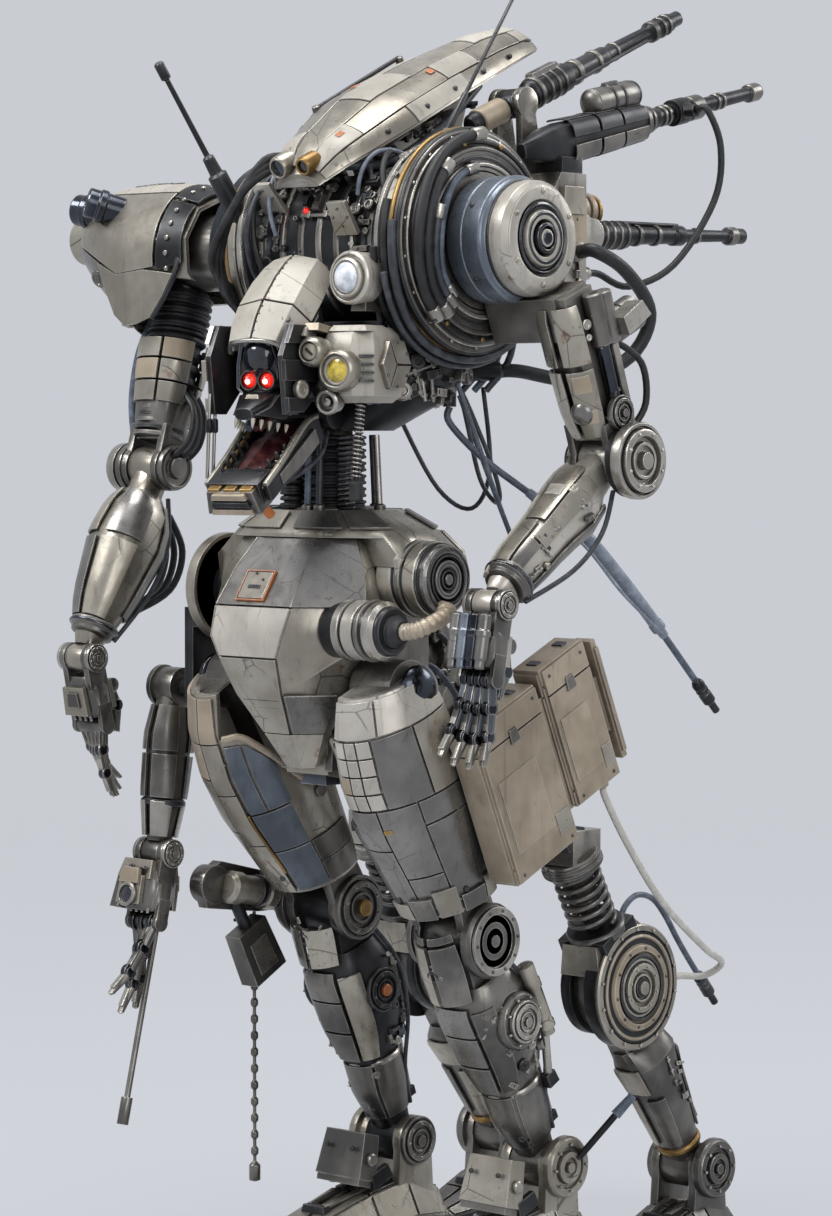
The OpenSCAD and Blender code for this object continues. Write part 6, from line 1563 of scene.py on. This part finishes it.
def left_shoulder():
    """Nested rings, wound hoses, drum and cap of the left shoulder."""
    for x, r, tone in ((59, 55.6, "brass"), (63.4, 55.4, "iron"), (66, 51.4, "steel"),
                       (68, 44.4, "gunmetal")):
        turned(part("torso", tone), BARREL, (x, 0, 0), (1, 0, 0),
               [(0, r - 3), (0, r), (0.8, r + 0.6), (2, r + 0.6), (2.6, r), (2.6, r - 3)], 72)
    bolts(part("torso", "steel"), BARREL, (67, 0, 0), (1, 0, 0), 52.4, 18, 1.0)
    bolts(part("torso", "iron"), BARREL, (69, 0, 0), (1, 0, 0), 41, 14, 1.2)
    for k, (x, r) in enumerate(((54, 54), (62, 58), (48, 56), (58, 61))):
        arc = [(x + 2 * math.sin(3 * a), r * math.sin(a), r * math.cos(a))
               for a in (math.radians(d) for d in range(-70 - 12 * k, -236 + 10 * k, -12))]
        hose(part("torso", "cable" if k % 2 else "rubber"), BARREL, arc, 2.6 - 0.3 * k, sides=10, steps=2)
    for x, r, tone in ((70, 50, "iron"), (71, 46.4, "gunmetal"), (70.4, 42, "iron"), (72, 38.6, "steel"),
                       (71, 35.4, "iron")):
        turned(part("torso", tone), BARREL, (x, 0, 0), (1, 0, 0),
               [(-3, r - 2.8), (-3, r), (0.2, r), (1, r - 0.8), (1, r - 2), (0, r - 2.8)], 72)
    bolts(part("torso", "brass"), BARREL, (71.4, 0, 0), (1, 0, 0), 48.4, 11, 1.4)
    # Hoses wound over the rings, each from one fitting to another
    for r, first, last, thick, tone in ((52, -6, -140, 2.6, "rubber"), (46, -40, -144, 3.0, "rubber"),
                                        (40, -70, -144, 2.4, "cable"), (36.4, -16, -144, 2.0, "blue_cable")):
        arc = [(75 + 1.4 * math.sin(0.06 * d), r * math.sin(math.radians(d)), r * math.cos(math.radians(d)))
               for d in range(first, last - 1, -10)]
        hose(part("torso", tone), BARREL, arc, thick, sides=12, steps=3)
        for end, near in ((arc[0], arc[1]), (arc[-1], arc[-2])):
            way = Vector(near) - Vector(end)
            turned(part("torso", "steel"), BARREL, end, way,
                   [(-2, 2), (-2, thick + 1), (4, thick + 1), (5, thick + 0.4)], 16)
            box(part("torso", "iron"), BARREL, (72.6, end[1], end[2]), (6, 6, 6))
    body = "left_upper_arm"
    turned(part(body, "sky"), BARREL, (72, 0, 0), (1, 0, 0),
           [(0, 27), (2.6, 30.4), (4, 31), (12, 31), (12.4, 30.4), (13, 31), (23, 31), (24, 30.2),
            (25.2, 28)], 72)
    bolts(part(body, "iron"), BARREL, (73.6, 0, 0), (1, 0, 0), 28.4, 14, 0.9)
    for a in (20, 70, 110, 160, 230, 300):
        w = math.radians(a)
        turned(part(body, "iron"), BARREL, (88, 30.8 * math.sin(w), 30.8 * math.cos(w)),
               (0, math.sin(w), math.cos(w)), [(0, 1.3), (0.8, 1.3), (1.2, 0.8)], 10)
    turned(part(body, "iron"), BARREL, (97.4, 0, 0), (1, 0, 0), [(0, 28.6), (2, 28.6), (2, 26)], 64)
    turned(part(body, "pale"), BARREL, (99, 0, 0), (1, 0, 0),
           [(0, 26), (0, 28), (3, 28.4), (8, 28), (10.6, 25.6), (11, 19), (9.4, 18)], 72)
    turned(part(body, "chrome"), BARREL, (104, 0, 0), (1, 0, 0),
           [(0, 18), (6, 17.6), (6.6, 16.4), (5, 15), (5, 13.6), (8, 12.6), (8, 11.2), (5.4, 10), (5.4, 8.4),
            (9, 7.4), (9.4, 5.8), (7, 4.6), (9.6, 3)], 56)
    bolts(part(body, "sand"), BARREL, (110, 0, 0), (1, 0, 0), 22.6, 6, 1.6, 0.9)


left_shoulder()

# Arms

UPPER_ARM_LENGTH = 116
LEFT_UPPER_FORM = [(-102, 0, -1, 10, 9), (-88, 0, -1, 12.4, 12), (-60, 0, 0, 13, 14), (-36, 0, 0, 13, 14),
                   (-30, 0, 0, 11, 12)]
LEFT_FORE_FORM = [(-104, 0, 0, 6, 6.4), (-99, 0, 0, 7.6, 8.4), (-84, 0, 0, 9.4, 11.4), (-56, 0, 1, 9.6, 12.6),
                  (-30, 0, 2, 12.6, 15.6), (-18, 0, 0, 9.4, 11.6), (-8, 0, 0, 9, 10)]
RIGHT_FORE_FORM = [(-104, 0, 0, 6, 6.4), (-99, 0, 0, 7.6, 8.4), (-78, 0, 0, 13.4, 14.4),
                   (-44, 0, 1, 17.4, 19.4), (-26, 0, 1, 15.4, 16.4), (-15, 0, 0, 9, 10), (-8, 0, 0, 9, 10)]


def left_arm():
    """Plates, rods and boxes of the left upper arm and forearm."""
    body, m = "left_upper_arm", limb("left_shoulder", "left_elbow", 1)
    for low, high, a0, a1, tone in ((-62, -32, -160, -92, "sand"), (-62, -32, -88, -20, "sand"),
            (-100, -64, -160, -92, "pale"), (-100, -64, -88, -20, "sand"), (-76, -66, -80, -34, "tan"),
            (-92, -84, -80, -34, "tan"), (-100, -40, 150, 196, "gunmetal")):
        plate(part(body, tone), m, LEFT_UPPER_FORM, low, high, a0, a1,
              thick=2.0 if tone == "tan" else 1.4, p=0.7)
    for x, y, top, r, tone in ((14, 4, -30, 3.2, "chrome"), (13, 13, -32, 2.6, "steel"),
            (-12, 12, -30, 2.8, "steel")):
        rod(part(body, tone), m, (x, y, top), (0.8 * x, y, -104), r)
        turned(part(body, "gunmetal"), m, (x, y, top), (-0.003 * x, 0, -1),
               [(0, r + 1), (0.6, r + 1.8), (26, r + 1.8), (27, r + 0.8)], 18)
    turned(part(body, "gunmetal"), m, (2, 18, -56), (0.1, 1, 0.1),
           [(0, 8), (3, 9), (12, 9), (12.6, 8.2), (14, 8.2), (14.6, 9), (24, 9), (25, 7.6), (25, 5),
            (23, 4.6)], 32)
    box(part(body, "steel"), m, (16, 24, -50), (12, 20, 9), tilt=10, taper=0.85)
    hose(part(body, "rubber"), m, [(6, 20, -60), (12, 30, -76), (12, 26, -96), (8, 14, -106)], 1.8)
    clutter(body, m, on_flat((-8, 15, -96), (16, 0, 0), (0, 0, 50), (0, 1, 0)), 10, 3.4)
    elbow(body, m, 19)
    hub(part(body, "silver"), m, (13, 3, -92), (1, 0, 0), 9, 5)
    turned(part(body, "silver"), m, (4, -11, -86), (0.3, -1, 0),
           [(0, 6.4), (2, 6.4), (4, 5.4), (5.4, 3.4), (5.8, 0.1)], 28)
    clutter(body, m, on_form(LEFT_UPPER_FORM, -100, -36, -20, 60, 0.7), 18, 3.6)
    fore, n = "left_forearm", limb("left_elbow", "left_wrist", 1)
    plates(fore, n, LEFT_FORE_FORM,
           ((-60, -20, -110, -58, "sand"), (-94, -61, -110, -72, "sand"), (-72, -24, -56, -8, "sand"),
            (-94, -73, -68, -20, "gunmetal"), (-90, -24, 20, 84, "gunmetal"), (-90, -24, 96, 160, "sand")),
           gap=0.25, thick=1.2, p=0.75)
    # Bright blade down the inner edge
    plate(part(fore, "cream"), n, LEFT_FORE_FORM, -98, -18, -152, -113, gap=0.2, lift=0.8, thick=2.0,
          p=0.75, steps=9)
    plate(part(fore, "cream"), n, LEFT_FORE_FORM, -44, -36, -102, -66, lift=1.2, thick=0.8, p=0.75)
    clutter(fore, n, on_form(LEFT_FORE_FORM, -90, -28, -58, 30, 0.75), 12, 3.0,
            ("sand", "gunmetal", "steel", "iron"))
    forearm_trim(fore, n)


def elbow(body, m, r):
    """Round elbow covers: a big one outside, and a ball inside."""
    e = shift(m, z=-UPPER_ARM_LENGTH)
    hub(part(body, "steel"), e, (18, 0, 0), (1, 0, 0), r, 9)
    turned(part(body, "iron"), e, (13, 0, 0), (1, 0, 0),
           [(0, r - 3), (1, r - 1), (5, r - 1), (5.4, r - 3)], 36)
    turned(part(body, "gunmetal"), e, (-13, 0, 0), (-1, 0, 0),
           [(0, 11.4), (2, 12), (4, 11.4), (4.6, 9.6), (3.4, 9), (3.4, 6), (6, 5.4), (6.4, 0.1)], 36)
    bolts(part(body, "iron"), e, (-14.6, 0, 0), (-1, 0, 0), 11.4, 6, 0.9)


def forearm_trim(body, m):
    """Cuff, tendons and leads of a forearm."""
    turned(part(body, "gunmetal"), m, (0, 0, -90), (0, 0, -1),
           [(0, 11.4), (1, 12.8), (4, 12.8), (5, 11.4), (7, 11), (8, 9)], 32)
    turned(part(body, "chrome"), m, (0, 0, -92), (0, 0, -1),
           [(0, 12.9), (0.4, 13.4), (1.4, 13.4), (1.8, 12.9)], 32)
    for x in (-7, 7):
        rod(part(body, "steel"), m, (x, 12, -26), (0.7 * x, 8, -92), 1.7)
        hose(part(body, "cable"), m,
             [(1.4 * x, 8, -14), (2.1 * x, 15, -38), (1.8 * x, 17, -64), (x, 10, -96)], 1.3)


def right_arm():
    """Boot, sleeve plates and hoses of the right upper arm, and its forearm."""
    body, m = "right_upper_arm", limb("right_shoulder", "right_elbow", -1)
    for i in range(7):
        turned(part(body, "rubber"), m, (0, 0, -23 - 3.9 * i), (0, 0, -1),
               [(0, 13), (0.6, 15.8), (2, 15.8), (2.6, 13)], 36)
    sleeve = [(-84, 0, 0, 14.8, 14), (-66, 0, 0, 16.4, 15.8), (-48, 0, 0, 16.8, 16.2)]
    for k, (low, high) in enumerate(((-60, -49), (-71.6, -60.4), (-83, -72))):
        for a0, a1 in ((-172, -112), (-110, -42), (-40, 22), (26, 92), (96, 162)):
            tone = "tan" if (k, a0) in ((1, -110), (0, -172)) else "sand"
            plate(part(body, tone), m, sleeve, low, high, a0, a1, gap=0.3, lift=0.5 - 0.2 * k,
                  thick=1.6, p=0.85)
    for i in range(5):
        turned(part(body, "iron" if i % 2 else "gunmetal"), m, (0, 0, -84 - 3.5 * i), (0, 0, -1),
               [(0, 12.2), (0.6, 13.8), (2.4, 13.8), (3, 12.2)], 32)
    hose(part(body, "blue_cable"), m, [(17, -4, -36), (20.4, -6, -56), (19.4, -6, -80), (15, -4, -100)], 2.2)
    for k in range(3):
        hose(part(body, "rubber"), m,
             [(-12, 8 - 5 * k, -74), (-20 - 2 * k, 10 - 6 * k, -86), (-20 - 2 * k, 10 - 6 * k, -102),
              (-13, 6 - 5 * k, -113)], 1.7)
    elbow(body, m, 13)
    fore, n = "right_forearm", limb("right_elbow", "right_wrist", -1)
    plates(fore, n, RIGHT_FORE_FORM,
           ((-46, -18, -170, -95, "silver"), (-46, -18, -85, -10, "sand"), (-90, -48, -165, -92, "sand"),
            (-90, -48, -88, -15, "silver"), (-84, -20, 15, 84, "gunmetal"), (-84, -20, 96, 165, "gunmetal")),
           gap=0.35, thick=1.3, p=0.75)
    forearm_trim(fore, n)
    for k in range(3):
        hose(part(fore, "rubber"), n,
             [(-6 + 4 * k, 16, -20), (-10 + 8 * k, 30 + 2 * k, -34), (-10 + 8 * k, 31 + 2 * k, -56),
              (-5 + 4 * k, 15, -78)], 1.9)


left_arm()
right_arm()


def hip_arm():
    """Plates of the small third arm."""
    body, m = "third_arm", limb("third_arm_shoulder", "third_arm_wrist", -1)
    form = [(-80, 0, 0, 6.4, 7), (-56, 0, 0, 9.4, 10.4), (-26, 0, 0, 9.4, 12.4), (-10, 0, 0, 7.4, 9.6)]
    for low, high in ((-34, -10), (-58, -35), (-78, -59)):
        for a0, a1 in ((-170, -95), (-85, -10), (20, 160)):
            plate(part(body, "gunmetal" if low > -60 else "steel"), m, form, low, high, a0, a1, gap=0.4,
                  thick=1.6, p=0.8)
    turned(part(body, "iron"), m, (0, 0, -58), (0, 0, -1), [(0, 10.4), (1, 11.6), (3, 11.6), (4, 10.4)], 28)
    hub(part(body, "gunmetal"), m, (7, 0, 0), (1, 0, 0), 11, 5)
    rod(part(body, "steel"), m, (0, 13, -18), (0, 10, -70), 2)


hip_arm()

# Hands: joint name, side, places of the fingers, their reach, curl, fan angle and finish

FINGERS = {
    "right": ("right", -1, (-6.3, -2.1, 2.1, 6.3), 40, 9, 9, "gunmetal"),
    "left": ("left", 1, (-6.3, -2.1, 2.1, 6.3), 44, -5, 8, "blue"),
    "third": ("third_arm", -1, (-6, 0, 6), 48, -7, 20, "gunmetal"),
}


def hand(name):
    """Palm plates, finger links and thumb of one hand."""
    joint, side, places, reach, curl, fan, tone = FINGERS[name]
    palm, grip = name + "_hand", name + "_grip"
    m = limb(joint + "_wrist", joint + "_fingers", side)
    hub(part(palm, "steel"), m, (9.8, 0, 0), (1, 0, 0), 7.5, 3)
    hub(part(palm, "steel"), m, (-9.8, 0, 0), (-1, 0, 0), 7.5, 3)
    deep, out = (12.4, 2.4) if name == "third" else (9, 0)
    for way in (-1, 1):
        box(part(palm, "sand" if name != "left" else "steel"), m, (out, way * deep, -21),
            (17, 3, 15), taper=0.9)
        if name == "third" or way < 0:
            box(part(palm, "gunmetal"), m, (out, way * (deep + 1.6), -20), (9, 2, 8), taper=0.8)
    for x in (-6, -2, 2, 6):
        rod(part(palm, "steel"), m, (x, -8, -14), (x, -6, -32), 0.9)
    if name == "left":
        for x, shade in ((-8.6, "silver"), (-2.9, "sky"), (2.9, "chrome"), (8.6, "silver")):
            turned(part(palm, shade), m, (x, -12.4, -6), (0, 0.02, -1),
                   [(0, 1.6), (1, 3.2), (8, 3.2), (8.6, 3.7), (11, 3.7), (11.6, 3.2), (22, 3.2), (23, 2.4),
                    (26, 2.4), (27, 1.4)], 18)
    bulk = {"third": 1.5, "left": 1.4, "right": 1.1}[name]
    if name == "third":
        turned(part(palm, "steel"), m, (out, -deep - 1, -24), (0, -1, 0),
               [(0, 6.4), (2, 6.4), (2.6, 5.6), (2.6, 4.6), (1.4, 4.4)], 28)
        turned(part(palm, "dark_glass"), m, (out, -deep - 1, -24), (0, -1, 0),
               [(0.8, 4.6), (1.8, 4), (2.6, 0.1)], 24)
        box(part(palm, "sand"), m, (out + 1.4, 0, -10), (24, 22, 10), taper=0.85)
        box(part(palm, "gunmetal"), m, (out + 10, 0, -22), (8, 24, 18), taper=0.85)
        for way in (-1, 1):
            box(part(palm, "tan"), m, (out, way * 14, -14), (14, 3, 8), taper=0.8)
        clutter(palm, m, on_flat((out - 8, -deep + 1, -30), (16, 0, 0), (0, 0, 22), (0, -1, 0)), 8, 3)
    knuckles = shift(m, z=-36)
    for i, place in enumerate(places):
        k = reach * (1 - 0.012 * abs(place))
        f = shift(knuckles, place, tilt=fan * (i - (len(places) - 1) / 2))
        row = [(0, 0, 0), (0, 0, -0.34 * k), (0, 0.3 * curl, -0.67 * k), (0, curl, -k)]
        for n, (p, q) in enumerate(zip(row, row[1:])):
            p, q = Vector(p), Vector(q)
            run = q - p
            rod(part(grip, tone if n < 2 else "sand"), f, p + run * 0.16, q - run * (0.1 if n < 2 else -0.04),
                bulk * (2.2 - 0.3 * n), bulk * (1.9 - 0.3 * n) - (0.9 if n == 2 else 0), 10)
            box(part(grip, "steel" if n else tone), f, p + run * 0.5 + Vector((0, -2.2 + 0.3 * n, 0)),
                (3.2, 1.6, run.length * 0.6), tilt=math.degrees(math.atan2(run.y, -run.z)))
            turned(part(grip, "chrome"), f, p - Vector((1.95, 0, 0)), (1, 0, 0),
                   [(0, 2.4), (0.5, bulk * (3.7 - 0.4 * n)), (3.4, bulk * (3.7 - 0.4 * n)), (3.9, 2.4)], 18)
    if name != "third":
        t = shift(m, 0, 13, -18)
        for p, q in (((0, 1, -2), (0, 5, -12)), ((0, 4.4, -12), (0, 1.4, -25))):
            rod(part(name + "_thumb", tone), t, p, q, 2.7, 2.0, 12)
        turned(part(name + "_thumb", "chrome"), t, (-2.9, 4, -12), (1, 0, 0),
               [(0, 2.4), (0.5, 3.4), (5.3, 3.4), (5.8, 2.4)], 18)


for name in FINGERS:
    hand(name)

# Pieces from the gathered meshes

for (body, tone), bm in parts.items():
    make_piece(body + "_" + tone, bm, body, tone, BOX_EDGE if (body, tone) == ("pelvis", "tan") else EDGE)


def make_stage():
    """Pale floor and soft studio light."""
    pale = rgb(201, 204, 210)
    bm = bmesh.new()
    bmesh.ops.create_grid(bm, x_segments=2, y_segments=2, size=40)
    mesh = bpy.data.meshes.new("floor")
    bm.to_mesh(mesh)
    bm.free()
    floor = bpy.data.objects.new("floor", mesh)
    bpy.context.scene.collection.objects.link(floor)
    g = Graph("floor")
    seen = g.seen()
    glow = g.add("Emission", {"Color": pale, "Strength": 1.0})
    matt = g.add("BsdfDiffuse", {"Color": pale})
    reach = g.add("VectorMath", {0: g.add("TexCoord").outputs["Object"]}, operation="LENGTH").outputs["Value"]
    share = g.math("MULTIPLY", seen, g.spread(reach, 0.3, 2.5, 0.8, 1.0))
    mesh.materials.append(g.close(g.add("MixShader", {0: share, 1: matt.outputs[0], 2: glow.outputs[0]})))
    world = bpy.data.worlds.new("studio")
    bpy.context.scene.world = world
    world.use_nodes = True
    tree = world.node_tree
    tree.nodes.clear()
    g = Graph("spare")
    bpy.data.materials.remove(g.material)
    g.tree = tree
    seen = g.seen()
    shown = g.add("Background", {"Color": pale, "Strength": 1.0})
    height = g.add("SeparateXYZ", {0: g.add("TexCoord").outputs["Generated"]}).outputs["Z"]
    strength = g.spread(height, -0.1, 0.9, 0.22, 0.75)
    light = g.add("Background", {"Color": rgb(224, 228, 236), "Strength": strength})
    both = g.add("MixShader", {0: seen, 1: light.outputs[0], 2: shown.outputs[0]})
    tree.links.new(both.outputs[0], g.add("OutputWorld").inputs["Surface"])
    for name, power, size, where in (("key", 31, 0.9, (-0.7, -1.5, 2.0)), ("fill", 12, 1.2, (1.9, -0.9, 1.0)),
                                     ("top", 33, 1.2, (0.1, -0.1, 2.5)), ("rim", 12, 0.8, (0.9, 1.6, 1.5))):
        data = bpy.data.lights.new(name, "AREA")
        data.energy = power
        data.size = size
        lamp = bpy.data.objects.new(name, data)
        bpy.context.scene.collection.objects.link(lamp)
        lamp.location = where
        lamp.rotation_mode = "QUATERNION"
        lamp.rotation_quaternion = (Vector((0, 0, 0.35)) - Vector(where)).to_track_quat("-Z", "Y")


make_stage()
bpy.context.scene.view_settings.view_transform = "Standard"
